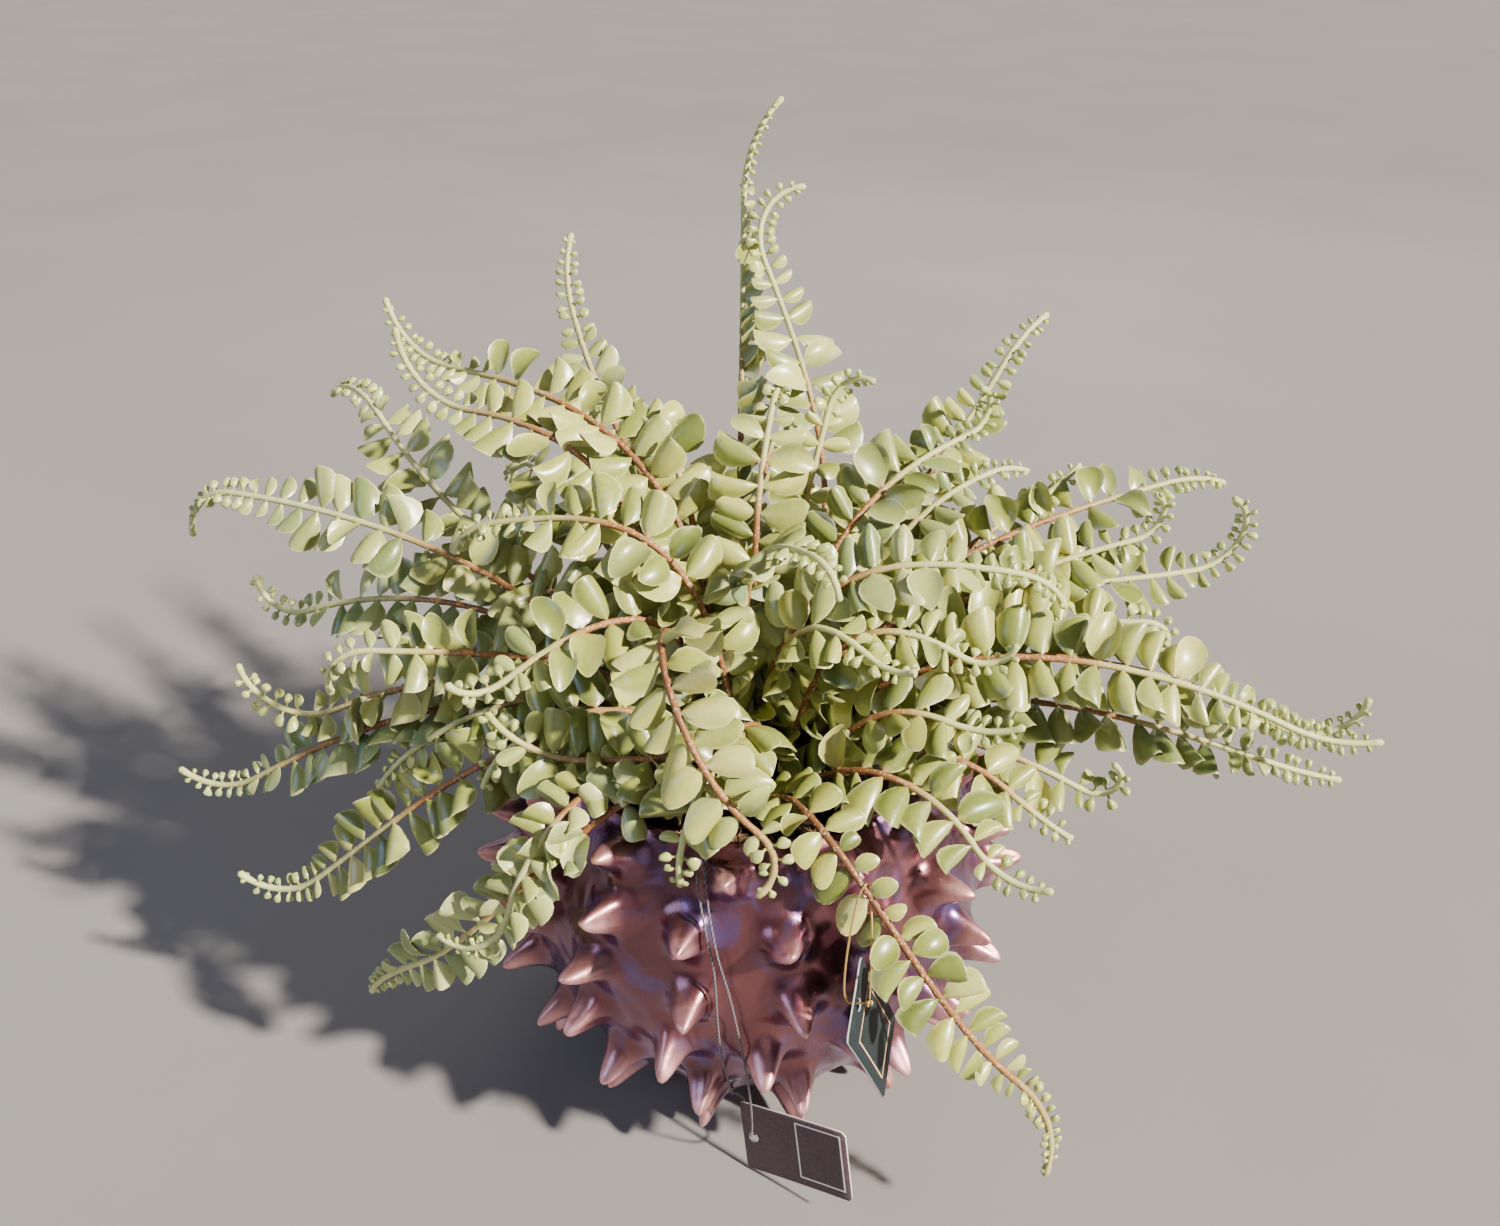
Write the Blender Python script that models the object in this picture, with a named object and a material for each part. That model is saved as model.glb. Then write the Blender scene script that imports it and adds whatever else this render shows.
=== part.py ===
"""Potted fern: arching fronds of paired round leaflets in a round spiked pot.

Metres, +Z up. The origin is the centre of the flat foot of the pot, and +Y points
away from the side that the tags hang on. Each frond, the soil, the pot, the tags
and their cords are separate closed solids that stay clear of each other.
"""

from math import cos, pi, radians, sin, sqrt

import bmesh
import bpy
import numpy as np
from mathutils import Vector
from mathutils.bvhtree import BVHTree

MM = 0.001
CLEARANCE = 0.35 * MM

# Pot: an egg-shaped body cut by a flat foot and an open rim
POT_RADIUS = 118 * MM
POT_HALF_HEIGHT = 126 * MM
POT_MIDDLE = 120 * MM
FOOT_RADIUS = 42 * MM
RIM_HEIGHT = 198 * MM
WALL = 5 * MM
POT_FLOOR = 8 * MM
ROUND_SIDES = 28
FOOT_SIDES = 14
INNER_WALL = (182 * MM, 150 * MM, 110 * MM, 60 * MM, 22 * MM)

# Spikes on the pot: latitude, number in the row, azimuth of the first one, length
SPIKE_ROWS = (
    (32, 13, 264, 21 * MM),
    (19, 17, 256, 22 * MM),
    (5, 16, 257, 22 * MM),
    (-9, 17, 273, 22 * MM),
    (-22, 16, 260, 22 * MM),
    (-35, 14, 283, 21 * MM),
    (-47, 11, 255, 18 * MM),
)
SPIKE_RINGS = ((10 * MM, 0.06), (4.4 * MM, 0.76))
SPIKE_SIDES = 5

# Soil, and the square holes that the fronds stand in
SOIL_HEIGHT = 182 * MM
STEM_DEPTH = 10 * MM
STEM_HOLE = 3.5 * MM

# Ribs: half width and height at the foot, and the share that both lose by the tip
RIB_HALF_WIDTH = 1.2 * MM
RIB_HEIGHT = 1.7 * MM
RIB_TAPER = 0.55
RIB_REACH = 2 * MM
# Past its foot a rib rolls by its own angle, and by up to this many degrees towards the front
ROLL_START = 0.1
ROLL_END = 0.3
ROLL_TO_FRONT = 35
BARE_STEP = 22 * MM
TAIL_STEP = 14 * MM
CURVE_POINTS = 90
HOOK_POINTS = 30

# Leaflets: pairs between two shares of the rib, each a five-cornered plate
FIRST_LEAF = 0.25
LAST_LEAF = 0.93
LEAF_LENGTH = 24 * MM
LEAF_PITCH = 1.64
LEAF_ROOT = 0.17
LEAF_THICKNESS = 0.75 * MM
LEAF_OUTLINE = ((-0.46, 0.50), (0.04, 1.02), (0.50, 0.56))
LEAF_CUP = 0.10

# Tilt and scale that a leaflet tries in turn until it is clear of everything by a margin
LEAF_TRIES = ((22, 1.0), (42, 1.0), (2, 1.0), (60, 1.0), (-20, 1.0), (22, 0.75), (50, 0.75),
              (-10, 0.75), (22, 0.55), (60, 0.55), (-15, 0.55))
LEAF_MARGIN = 0.5 * MM

# Tags: length, width and thickness of a card, and the hole near one of its short edges
CARD = (60 * MM, 38 * MM, 0.9 * MM)
CARD_HOLE = 2.7 * MM
CARD_HOLE_INSET = 6 * MM
HOLE_SIDES = 8

# Each card by one corner and the directions of its long and short edges
FRONT_CARD = ((-0.5, -108.2, 0.8), (0.832, -0.493, 0.254), (-0.115, 0.294, 0.949))
SIDE_CARD = ((47.6, -122.3, 164.4), (0.321, 0.247, -0.914), (-0.204, -0.924, -0.322))

# The grey string, in millimetres: out of the soil, over the rim, down between the spikes,
# through the hole of the front card, and back up beside itself
GREY_CORD = 0.55 * MM
GREY_ROUTE = (
    (-19, -74, 182.5), (-19.4, -75.6, 188), (-20.2, -80.2, 196.5), (-20.6, -87.6, 201.2),
    (-20.4, -95, 200), (-19.4, -102, 193.5), (-18.4, -108, 186), (-17.2, -113, 177),
    (-13.9, -121, 162.5), (-9.1, -124, 141.9), (-5.5, -124.6, 120), (-3.2, -124, 103.5),
    (-1, -122, 82), (0.4, -118, 60), (1, -113.8, 40), (0.6, -110.6, 29), (0.6, -108.1, 23.3),
    (1.93, -105.7, 21.6), (3.5, -103.1, 21.1), (4.2, -100.2, 22.6), (3, -97.4, 26),
    (-0.5, -95, 30.5), (-4.4, -94.4, 36.5), (-7.4, -97.4, 43), (-9, -104, 52),
    (-10.4, -111.5, 70), (-12.2, -118.5, 90), (-13.5, -122.4, 107), (-14.5, -124, 129),
    (-15, -123, 145), (-16, -120.8, 157), (-19.2, -114.8, 172), (-21.2, -109.6, 182),
    (-22.8, -103, 192), (-23.4, -96, 199), (-23.8, -87.6, 201.4), (-23.4, -79.6, 196.5),
    (-22.6, -75.4, 188), (-22.2, -74, 182.5),
)

# The gold cord: a loop from a knot behind the side card, over a frond's rib and back
# through the card's hole
GOLD_CORD = 0.5 * MM
GOLD_KNOT = (49.7, -139.9, 155.4)
GOLD_KNOT_RADIUS = 1.4 * MM
GOLD_ROUTE = (
    (50, -138.8, 156.8), (50.3, -136.5, 161), (50.8, -129.5, 172.5), (51, -121, 185),
    (50.2, -114.6, 192.8), (49.7, -112.9, 196.4), (49.2, -113.9, 198.4),
    (47.8, -115.6, 198.6), (46.3, -116.8, 196.4), (44.6, -119, 192), (42, -125, 182),
    (40, -131.5, 169), (39.5, -136, 159), (40.6, -137.4, 154.8), (42.3, -138.1, 153.6),
    (44.7, -138.8, 154.2), (47.9, -139.5, 155),
)

ANY_FROND = dict(rise=(75, 0.4), dip=0, bow=0, hook=(60, 0, 45), roll=0)


def frond(name, root, tip, **rest):
    """One frond by hand: root and tip as (distance from the middle, azimuth) and
    (azimuth, reach, height) in millimetres and degrees; rise is the angle at the root and
    how far it holds; dip is the angle at the tip; bow pushes the arch sideways; hook is
    (turn, way, length) of the curled end."""
    return dict(ANY_FROND, name=name, root=root, tip=tip, **rest)


FRONDS = [
    # Tall ones at the back
    frond("front_centre", (12, 235), (271, 110, 224), rise=(88, 1.5), dip=-72, bow=-46, hook=(105, 270, 34)),
    frond("back_tall", (12, 120), (91, 195, 402), rise=(86, .4), dip=62, hook=(45, 270, 62), roll=75),
    frond("back_hook", (12, 50), (87, 165, 378), rise=(84, .4), dip=58, bow=-40, hook=(110, 270, 55)),
    frond("back_left", (30, 112), (120, 190, 346), rise=(84, .45), dip=52, bow=4, hook=(30, 300, 50)),
    frond("right_tall", (30, 44), (43, 177, 334), rise=(80, .4), dip=46, hook=(35, 180, 45)),
    frond("centre_up", (30, 72), (64, 88, 330), rise=(84, .4), dip=62, hook=(110, 270, 32), roll=40),
    # Left side
    frond("left_rear_a", (12, 160), (141, 200, 335), rise=(86, .62), dip=-4, bow=-8, hook=(80, 0, 60)),
    frond("left_rear_b", (30, 168), (150, 158, 330), rise=(84, .6), dip=-4, bow=-6, hook=(95, 0, 64)),
    frond("left_rear_c", (30, 146), (148, 232, 308), rise=(66, .35), dip=28, bow=32, hook=(70, 180, 62)),
    frond("left_long", (50, 160), (163, 275, 284), rise=(64, .36), dip=-2, bow=8, hook=(85, 180, 55)),
    frond("left_low", (50, 177), (162, 252, 215), rise=(66, .4), dip=-26, hook=(120, 0, 42)),
    frond("left_up", (50, 194), (176, 208, 196), rise=(66, .42), dip=-28, hook=(115, 0, 66)),
    frond("left_wave", (30, 190), (184, 175, 248), rise=(74, .42), dip=4, hook=(110, 180, 40)),
    frond("left_tip", (50, 210), (176, 262, 148), rise=(62, .38), dip=-34, hook=(75, 0, 48)),
    # Front left
    frond("front_left_long", (50, 226), (187, 224, 118), rise=(64, .5), dip=-42, bow=10, hook=(95, 0, 46)),
    frond("front_left_mid", (30, 216), (187, 158, 200), rise=(72, .5), dip=-38, hook=(20, 180, 38)),
    frond("front_left_short", (30, 240), (202, 118, 216), rise=(74, .55), dip=-40, hook=(35, 180, 26)),
    frond("front_low_left", (50, 256), (206, 178, 112), rise=(66, .6), dip=-42, bow=34, hook=(25, 180, 52)),
    frond("front_low_hook", (50, 241), (224, 146, 172), rise=(66, .75), dip=-72, hook=(105, 300, 52)),
    frond("front_cross", (30, 282), (222, 92, 222), rise=(74, .5), dip=-20, bow=30, hook=(95, 0, 60)),
    frond("front_right_long", (50, 276), (309, 182, 110), rise=(66, .62), dip=-52, bow=-30, roll=-22,
          hook=(60, 225, 62)),
    # Front right
    frond("front_right_a", (50, 290), (315, 134, 204), rise=(68, .55), dip=-50, hook=(80, 0, 42)),
    frond("front_right_b", (50, 318), (332, 130, 206), rise=(66, .45), dip=-38, hook=(12, 0, 38)),
    frond("front_right_hook", (50, 334), (345, 160, 190), rise=(66, .45), dip=-28, hook=(180, 0, 34)),
    frond("right_low", (50, 351), (356, 250, 188), rise=(64, .35), dip=-20, hook=(10, 0, 42)),
    frond("right_long", (30, 342), (354, 248, 216), rise=(68, .42), dip=-30, hook=(120, 0, 52)),
    frond("right_mid", (30, 318), (350, 246, 228), rise=(70, .45), dip=-26, hook=(40, 0, 46)),
    frond("right_centre", (30, 5), (2, 188, 252), rise=(70, .4), dip=-2, hook=(150, 180, 30)),
    frond("right_curl", (12, 325), (14, 232, 252), rise=(72, .45), hook=(155, 0, 60)),
    frond("right_curl_b", (50, 8), (16, 200, 270), rise=(70, .4), dip=4, hook=(150, 0, 36)),
    frond("right_rear", (30, 24), (23, 232, 284), rise=(72, .4), dip=4, hook=(30, 180, 45)),
    frond("rear_right_a", (50, 25), (28, 160, 278), rise=(76, .4), dip=18, hook=(20, 0, 38)),
    frond("rear_right_b", (50, 42), (34, 142, 294), rise=(78, .4), dip=10, hook=(40, 180, 32)),
    frond("rear_right_c", (12, 8), (38, 140, 314), rise=(82, .55), dip=2, hook=(165, 0, 36)),
    # Crown
    frond("crown_back", (30, 128), (128, 110, 330), rise=(86, .6), dip=-12, hook=(60, 180, 30)),
    frond("crown_front_left", (12, 200), (208, 118, 262), rise=(84, .8), dip=-28, hook=(90, 0, 30)),
    frond("crown_right", (30, 306), (338, 100, 262), rise=(84, .8), dip=-30, hook=(110, 0, 30)),
    frond("crown_right_up", (12, 270), (352, 120, 292), rise=(84, .7), dip=-10, hook=(60, 180, 30)),
    frond("crown_left", (30, 262), (172, 120, 300), rise=(84, .8), dip=-14, bow=-10, hook=(60, 180, 30)),
    frond("crown_top", (12, 85), (80, 62, 340), rise=(84, .5), dip=30, hook=(100, 180, 26)),
    frond("crown_centre", (5, 225), (300, 50, 316), rise=(88, .6), dip=8, hook=(90, 180, 26)),
    frond("crown_front", (12, 298), (318, 68, 268), rise=(86, .7), dip=-25, hook=(60, 0, 26)),
    frond("front_short", (30, 294), (254, 104, 208), rise=(84, .9), dip=-66, hook=(40, 180, 22)),
    frond("front_fan", (50, 304), (326, 104, 241), rise=(78, .5), dip=-16, hook=(50, 0, 34)),
    # Behind
    frond("rear_low_a", (50, 60), (60, 185, 238), rise=(72, .45), dip=-15, hook=(80, 0, 45)),
    frond("rear_low_b", (50, 96), (86, 195, 262), rise=(76, .45), dip=-5, hook=(70, 180, 45)),
    frond("rear_low_c", (50, 113), (106, 195, 235), rise=(72, .45), dip=-18, hook=(90, 0, 45)),
    frond("rear_low_d", (50, 144), (128, 205, 262), rise=(72, .42), dip=-4, hook=(70, 180, 45)),
    frond("rear_drop_a", (50, 78), (76, 152, 150), rise=(76, .7), dip=-72, hook=(60, 0, 45)),
    frond("rear_drop_b", (50, 129), (118, 152, 145), rise=(76, .7), dip=-72, hook=(50, 0, 45)),
    frond("rear_fill", (30, 92), (100, 132, 262), rise=(80, .5), dip=-12, hook=(60, 180, 36)),
    frond("rear_drop_c", (68, 150), (150, 165, 152), rise=(62, .6), dip=-62, hook=(50, 0, 40)),
    frond("rear_drop_d", (68, 48), (44, 165, 156), rise=(62, .6), dip=-62, hook=(50, 0, 40)),
]


# Shared helpers

def clear_scene():
    for item in list(bpy.data.objects):
        bpy.data.objects.remove(item, do_unlink=True)


def make_material(name, colour, roughness, metallic=0.0):
    material = bpy.data.materials.new(name)
    material.use_nodes = True
    shader = material.node_tree.nodes["Principled BSDF"]
    shader.inputs["Base Color"].default_value = (*colour, 1.0)
    shader.inputs["Roughness"].default_value = roughness
    shader.inputs["Metallic"].default_value = metallic
    material.diffuse_color = (*colour, 1.0)
    return material


def add_object(name, mesh, material):
    mesh.materials.append(material)
    item = bpy.data.objects.new(name, mesh)
    bpy.context.collection.objects.link(item)
    return item


def mesh_from(name, vertices, faces):
    mesh = bpy.data.meshes.new(name)
    mesh.from_pydata([tuple(v) for v in vertices], [], faces)
    mesh.update()
    return mesh


def face_outwards(mesh):
    shape = bmesh.new()
    shape.from_mesh(mesh)
    bmesh.ops.recalc_face_normals(shape, faces=shape.faces)
    shape.to_mesh(mesh)
    shape.free()


def unit(vector):
    return vector / np.linalg.norm(vector)


def polar(distance, azimuth, height):
    angle = radians(azimuth)
    return np.array((distance * cos(angle), distance * sin(angle), height))


# Pot

def body_radius(height):
    """Radius of the egg-shaped body at a height."""
    return POT_RADIUS * sqrt(1 - ((height - POT_MIDDLE) / POT_HALF_HEIGHT) ** 2)


def direction(latitude, azimuth):
    phi, theta = radians(latitude), radians(azimuth)
    return np.array((cos(phi) * cos(theta), cos(phi) * sin(theta), sin(phi)))


def on_body(way, out=0.0):
    """Point of the body in a direction of the unit sphere, raised by out."""
    return np.array((way[0] * POT_RADIUS, way[1] * POT_RADIUS,
                     POT_MIDDLE + way[2] * POT_HALF_HEIGHT)) + out * way


def spike_sites():
    """Middles and lengths of all spikes, a little off their even places, as if set by hand."""
    chance = np.random.default_rng(7)
    sites = []
    for latitude, count, first, length in SPIKE_ROWS:
        for number in range(count):
            aside, above = chance.uniform(-1, 1, 2)
            azimuth = first + 360 * number / count + 1.5 * aside
            sites.append((direction(latitude + 0.7 * above, azimuth), length))
    return sites


def hull_faces(ways):
    """Triangles over points of the unit sphere, from their convex hull."""
    shape = bmesh.new()
    for way in ways:
        shape.verts.new(way)
    shape.verts.ensure_lookup_table()
    bmesh.ops.convex_hull(shape, input=shape.verts)
    bmesh.ops.triangulate(shape, faces=shape.faces)
    shape.verts.index_update()
    faces = [tuple(v.index for v in face.verts) for face in shape.faces]
    shape.free()
    return faces


def spike_points(way, length):
    """Directions and heights of one spike: two rings round its axis and its tip."""
    side = unit(np.cross((0, 0, 1), way))
    over = np.cross(way, side)
    points = []
    for radius, share in SPIKE_RINGS:
        for step in range(SPIKE_SIDES):
            turn = 2 * pi * step / SPIKE_SIDES
            offset = (cos(turn) * side + sin(turn) * over) * radius / POT_RADIUS
            points.append((unit(way + offset), share * length))
    points.append((way, length))
    return points


def ring_ways(height, radius, sides):
    """Directions of a level ring of the body."""
    rise = (height - POT_MIDDLE) / POT_HALF_HEIGHT
    return [unit(np.array((radius * cos(2 * pi * k / sides) / POT_RADIUS,
                           radius * sin(2 * pi * k / sides) / POT_RADIUS, rise)))
            for k in range(sides)]


def inner_radius(height):
    return body_radius(height) - WALL


def make_pot(material):
    sites = spike_sites()
    rim_radius = body_radius(RIM_HEIGHT)
    ways = ring_ways(RIM_HEIGHT, rim_radius, ROUND_SIDES) + ring_ways(0.0, FOOT_RADIUS, FOOT_SIDES)
    places = [polar(rim_radius, 360 * k / ROUND_SIDES, RIM_HEIGHT) for k in range(ROUND_SIDES)]
    places += [polar(FOOT_RADIUS, 360 * k / FOOT_SIDES, 0.0) for k in range(FOOT_SIDES)]
    for way, length in sites:
        for point, out in spike_points(way, length):
            ways.append(point)
            places.append(on_body(point, out))
    # The hull spans the open mouth too: those faces have corners on the rim alone
    faces = [face for face in hull_faces(ways) if max(face) >= ROUND_SIDES]
    rings = [range(ROUND_SIDES)]
    for height in (RIM_HEIGHT, *INNER_WALL):
        rings.append(range(len(places), len(places) + ROUND_SIDES))
        places += [polar(inner_radius(height), 360 * k / ROUND_SIDES, height)
                   for k in range(ROUND_SIDES)]
    for upper, lower in zip(rings, rings[1:]):
        for k in range(ROUND_SIDES):
            after = (k + 1) % ROUND_SIDES
            faces.append((upper[k], upper[after], lower[after], lower[k]))
    faces += [(rings[-1][k], rings[-1][(k + 1) % ROUND_SIDES], len(places))
              for k in range(ROUND_SIDES)]
    places.append(polar(0.0, 0.0, POT_FLOOR))
    mesh = mesh_from("pot", places, faces)
    face_outwards(mesh)
    return add_object("pot", mesh, material)


# Soil

def make_soil(material, stems):
    """The fill of the pot, with one square hole for the foot of each frond."""
    foot = INNER_WALL[-1]
    profile = [(0.0, SOIL_HEIGHT)]
    profile += [(inner_radius(height) - CLEARANCE, height) for height in INNER_WALL[:-1]]
    profile += [(inner_radius(foot) - CLEARANCE, foot + 2 * CLEARANCE),
                (0.0, POT_FLOOR + 2 * CLEARANCE)]
    places, faces = [], []
    for radius, height in profile:
        sides = ROUND_SIDES if radius else 1
        places += [polar(radius, 360 * k / ROUND_SIDES, height) for k in range(sides)]
    low = len(places) - 1
    for k in range(ROUND_SIDES):
        after = (k + 1) % ROUND_SIDES
        faces.append((0, 1 + k, 1 + after))
        for ring in range(1, low - ROUND_SIDES, ROUND_SIDES):
            faces.append((ring + k, ring + ROUND_SIDES + k,
                          ring + ROUND_SIDES + after, ring + after))
        faces.append((low - ROUND_SIDES + after, low - ROUND_SIDES + k, low))
    mesh = mesh_from("soil", places, faces)
    face_outwards(mesh)
    soil = add_object("soil", mesh, material)
    cutter = bmesh.new()
    for stem in stems:
        made = bmesh.ops.create_cube(cutter, size=1.0)["verts"]
        size = (STEM_HOLE, STEM_HOLE, 2 * (STEM_DEPTH + CLEARANCE))
        bmesh.ops.scale(cutter, vec=size, verts=made)
        bmesh.ops.translate(cutter, vec=Vector(stem), verts=made)
    holes = bpy.data.meshes.new("holes")
    cutter.to_mesh(holes)
    cutter.free()
    tool = bpy.data.objects.new("stem_holes", holes)
    bpy.context.collection.objects.link(tool)
    tool.hide_render = True
    tool.display_type = "WIRE"
    cut = soil.modifiers.new("stem_holes", "BOOLEAN")
    cut.operation = "DIFFERENCE"
    cut.object = tool
    return soil


# Tags and their cords

def make_card(name, pose, material):
    """A thin card with a round hole near the middle of its first short edge."""
    corner = np.array(pose[0]) * MM
    along = unit(np.array(pose[1]))
    across = unit(np.array(pose[2]) - np.dot(pose[2], along) * along)
    length, width, thickness = CARD
    outline = [(0, 0), (length, 0), (length, width), (0, width)]
    hole = [(CARD_HOLE_INSET + CARD_HOLE * cos(2 * pi * (k + 0.5) / HOLE_SIDES),
             width / 2 + CARD_HOLE * sin(2 * pi * (k + 0.5) / HOLE_SIDES))
            for k in range(HOLE_SIDES)]
    shape = bmesh.new()
    edges = []
    for loop in (outline, hole):
        verts = [shape.verts.new(corner + x * along + y * across) for x, y in loop]
        edges += [shape.edges.new(pair) for pair in zip(verts, verts[1:] + verts[:1])]
    bmesh.ops.triangle_fill(shape, edges=edges, use_beauty=True)
    face = bmesh.ops.extrude_face_region(shape, geom=shape.faces[:])["geom"]
    moved = [item for item in face if isinstance(item, bmesh.types.BMVert)]
    bmesh.ops.translate(shape, vec=Vector(np.cross(along, across) * thickness), verts=moved)
    bmesh.ops.recalc_face_normals(shape, faces=shape.faces)
    mesh = bpy.data.meshes.new(name)
    shape.to_mesh(mesh)
    shape.free()
    return add_object(name, mesh, material)


def smooth_route(route, count):
    """A number of evenly spaced points on the smooth curve through a route's own points."""
    spots = np.array(route, float) * MM
    spots = np.vstack((2 * spots[0] - spots[1], spots, 2 * spots[-1] - spots[-2]))
    share = np.linspace(0, 1, 20, endpoint=False)[:, None]
    smooth = [0.5 * (2 * b + (c - a) * share + (2 * a - 5 * b + 4 * c - d) * share ** 2
                     + (3 * b - a - 3 * c + d) * share ** 3)
              for a, b, c, d in zip(spots, spots[1:], spots[2:], spots[3:])]
    smooth = np.vstack(smooth + [spots[-2:-1]])
    lengths = np.linalg.norm(np.diff(smooth, axis=0), axis=1).cumsum()
    lengths = np.append(0, lengths)
    even = np.linspace(0, lengths[-1], count)
    return np.column_stack([np.interp(even, lengths, smooth[:, k]) for k in range(3)])


def make_cord(name, route, count, radius, material):
    curve = bpy.data.curves.new(name, "CURVE")
    curve.dimensions = "3D"
    curve.bevel_depth = radius
    curve.bevel_resolution = 2
    curve.use_fill_caps = True
    points = smooth_route(route, count)
    spline = curve.splines.new("POLY")
    spline.points.add(count - 1)
    for point, place in zip(spline.points, points):
        point.co = (*place, 1.0)
    curve.materials.append(material)
    item = bpy.data.objects.new(name, curve)
    bpy.context.collection.objects.link(item)
    return item


def make_knot(name, place, radius, material):
    shape = bmesh.new()
    bmesh.ops.create_icosphere(shape, subdivisions=1, radius=radius)
    bmesh.ops.translate(shape, vec=Vector(place) * MM, verts=shape.verts)
    mesh = bpy.data.meshes.new(name)
    shape.to_mesh(mesh)
    shape.free()
    return add_object(name, mesh, material)


# Fronds

def frond_curve(plan):
    """Middle line of a rib: an arch from root to tip, then a hook that turns faster and
    faster. Returns the points and the sideways direction at the root."""
    root = polar(plan["root"][0] * MM, plan["root"][1], SOIL_HEIGHT)
    azimuth, reach, height = plan["tip"]
    tip = polar(reach * MM, azimuth, height * MM)
    span = np.linalg.norm(tip - root)
    up = np.array((0.0, 0.0, 1.0))
    ahead = unit((tip - root) * (1, 1, 0))
    side = np.cross(up, ahead)
    lift, hold = radians(plan["rise"][0]), plan["rise"][1]
    dip = radians(plan["dip"])
    bow = plan["bow"] * MM * side
    first = root + hold * span * (cos(lift) * ahead + sin(lift) * up) + bow
    second = tip - 0.4 * span * (cos(dip) * ahead + sin(dip) * up) + bow
    points = [root - (0, 0, STEM_DEPTH)]
    for t in np.linspace(0, 1, CURVE_POINTS):
        points.append((1 - t) ** 3 * root + 3 * (1 - t) ** 2 * t * first
                      + 3 * (1 - t) * t ** 2 * second + t ** 3 * tip)
    turn, way, length = plan["hook"]
    ahead = unit(tip - second)
    across = unit(side - side.dot(ahead) * ahead)
    bend = cos(radians(way)) * np.cross(ahead, across) + sin(radians(way)) * across
    for step in range(HOOK_POINTS):
        angle = radians(turn) * ((step + 0.5) / HOOK_POINTS) ** 1.3
        points.append(points[-1] + (cos(angle) * ahead + sin(angle) * bend)
                      * length * MM / HOOK_POINTS)
    return np.array(points), side


class Rib:
    """A rib's middle line by length, with the directions ahead, sideways and up."""

    def __init__(self, plan):
        self.points, side = frond_curve(plan)
        steps = np.linalg.norm(np.diff(self.points, axis=0), axis=1)
        self.lengths = np.concatenate(((0.0,), np.cumsum(steps)))
        self.total = self.lengths[-1]
        ahead = np.gradient(self.points, axis=0)
        self.ahead = ahead / np.linalg.norm(ahead, axis=1)[:, None]
        self.side = np.zeros_like(self.points)
        for index, way in enumerate(self.ahead):
            side = unit(side - side.dot(way) * way)
            self.side[index] = side
        self.roll = radians(plan["roll"] + ROLL_TO_FRONT * cos(radians(plan["tip"][0])))

    def at(self, length):
        """Place and axes of the rib at a length from its foot."""
        def read(values):
            return np.array([np.interp(length, self.lengths, values[:, k]) for k in range(3)])
        ahead = unit(read(self.ahead))
        side = read(self.side)
        side = unit(side - side.dot(ahead) * ahead)
        up = np.cross(ahead, side)
        share = (length / self.total - ROLL_START) / (ROLL_END - ROLL_START)
        roll = self.roll * min(1.0, max(0.0, share))
        turned = cos(roll) * side + sin(roll) * up
        return read(self.points), ahead, turned, np.cross(ahead, turned)

    def section(self, length):
        """Ridge, left and right corners of the three-sided rib."""
        place, _, side, up = self.at(length)
        size = 1 - RIB_TAPER * length / self.total
        ridge = place + up * RIB_HEIGHT * 0.6 * size
        left = place + side * RIB_HALF_WIDTH * size - up * RIB_HEIGHT * 0.4 * size
        right = place - side * RIB_HALF_WIDTH * size - up * RIB_HEIGHT * 0.4 * size
        return [ridge, left, right]


def leaf_size(share):
    """Leaflet length against the share of the rib: full size, then smaller to the tip."""
    return LEAF_LENGTH * min(1.0, 0.80 + 0.8 * (share - FIRST_LEAF), 0.22 + 1.9 * (1 - share))


def stations(rib):
    """Lengths along a rib, and the size of the leaflet pair that starts at each, or none."""
    start = FIRST_LEAF * rib.total
    plan = [(0.0, 0.0), (STEM_DEPTH, 0.0)]
    bare = int((start - STEM_DEPTH) / BARE_STEP)
    for step in range(1, bare):
        plan.append((STEM_DEPTH + (start - STEM_DEPTH) * step / bare, 0.0))
    length = start
    while length < LAST_LEAF * rib.total:
        size = leaf_size(length / rib.total)
        root = LEAF_ROOT * size
        plan += [(length, size), (length + 2 * root, 0.0)]
        length += LEAF_PITCH * size
    rest = rib.total - plan[-1][0]
    tail = max(1, round(rest / TAIL_STEP))
    for step in range(1, tail + 1):
        plan.append((plan[-1][0] + rest / tail, 0.0))
    return plan


def leaf_points(rib, start, size, hand, tilt, scale, margin=0.0):
    """Outer corners of a leaflet, upper and lower, in order along the rib. A leaflet leans
    up by the tilt and curls down toward its end; the margin makes it thicker and wider."""
    root = LEAF_ROOT * size
    place, ahead, side, up = rib.at(start + root)
    tilt = radians(tilt)
    out = hand * cos(tilt) * side + sin(tilt) * up
    face = cos(tilt) * up - hand * sin(tilt) * side
    upper, lower = [], []
    for along, away in LEAF_OUTLINE:
        droop = LEAF_CUP * size * scale * away ** 2
        reach = size * scale + 2 * margin
        point = place + (along * ahead + away * out) * reach - droop * face
        upper.append(point + face * (LEAF_THICKNESS / 2 + margin))
        lower.append(point - face * (LEAF_THICKNESS / 2 + margin))
    return upper, lower


def fan(points):
    """Triangles of a five-cornered leaflet face, the same on both faces."""
    a, b, c, d, e = points
    return [(a, b, d), (b, c, d), (a, d, e)]


def leaf_faces(top, low):
    """Closed skin of a leaflet from its upper and lower corners, open at the rib."""
    faces = fan(top) + [tuple(reversed(face)) for face in fan(low)]
    for k in range(len(top) - 1):
        faces += [(top[k], low[k], low[k + 1]), (top[k], low[k + 1], top[k + 1])]
    return faces


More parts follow.
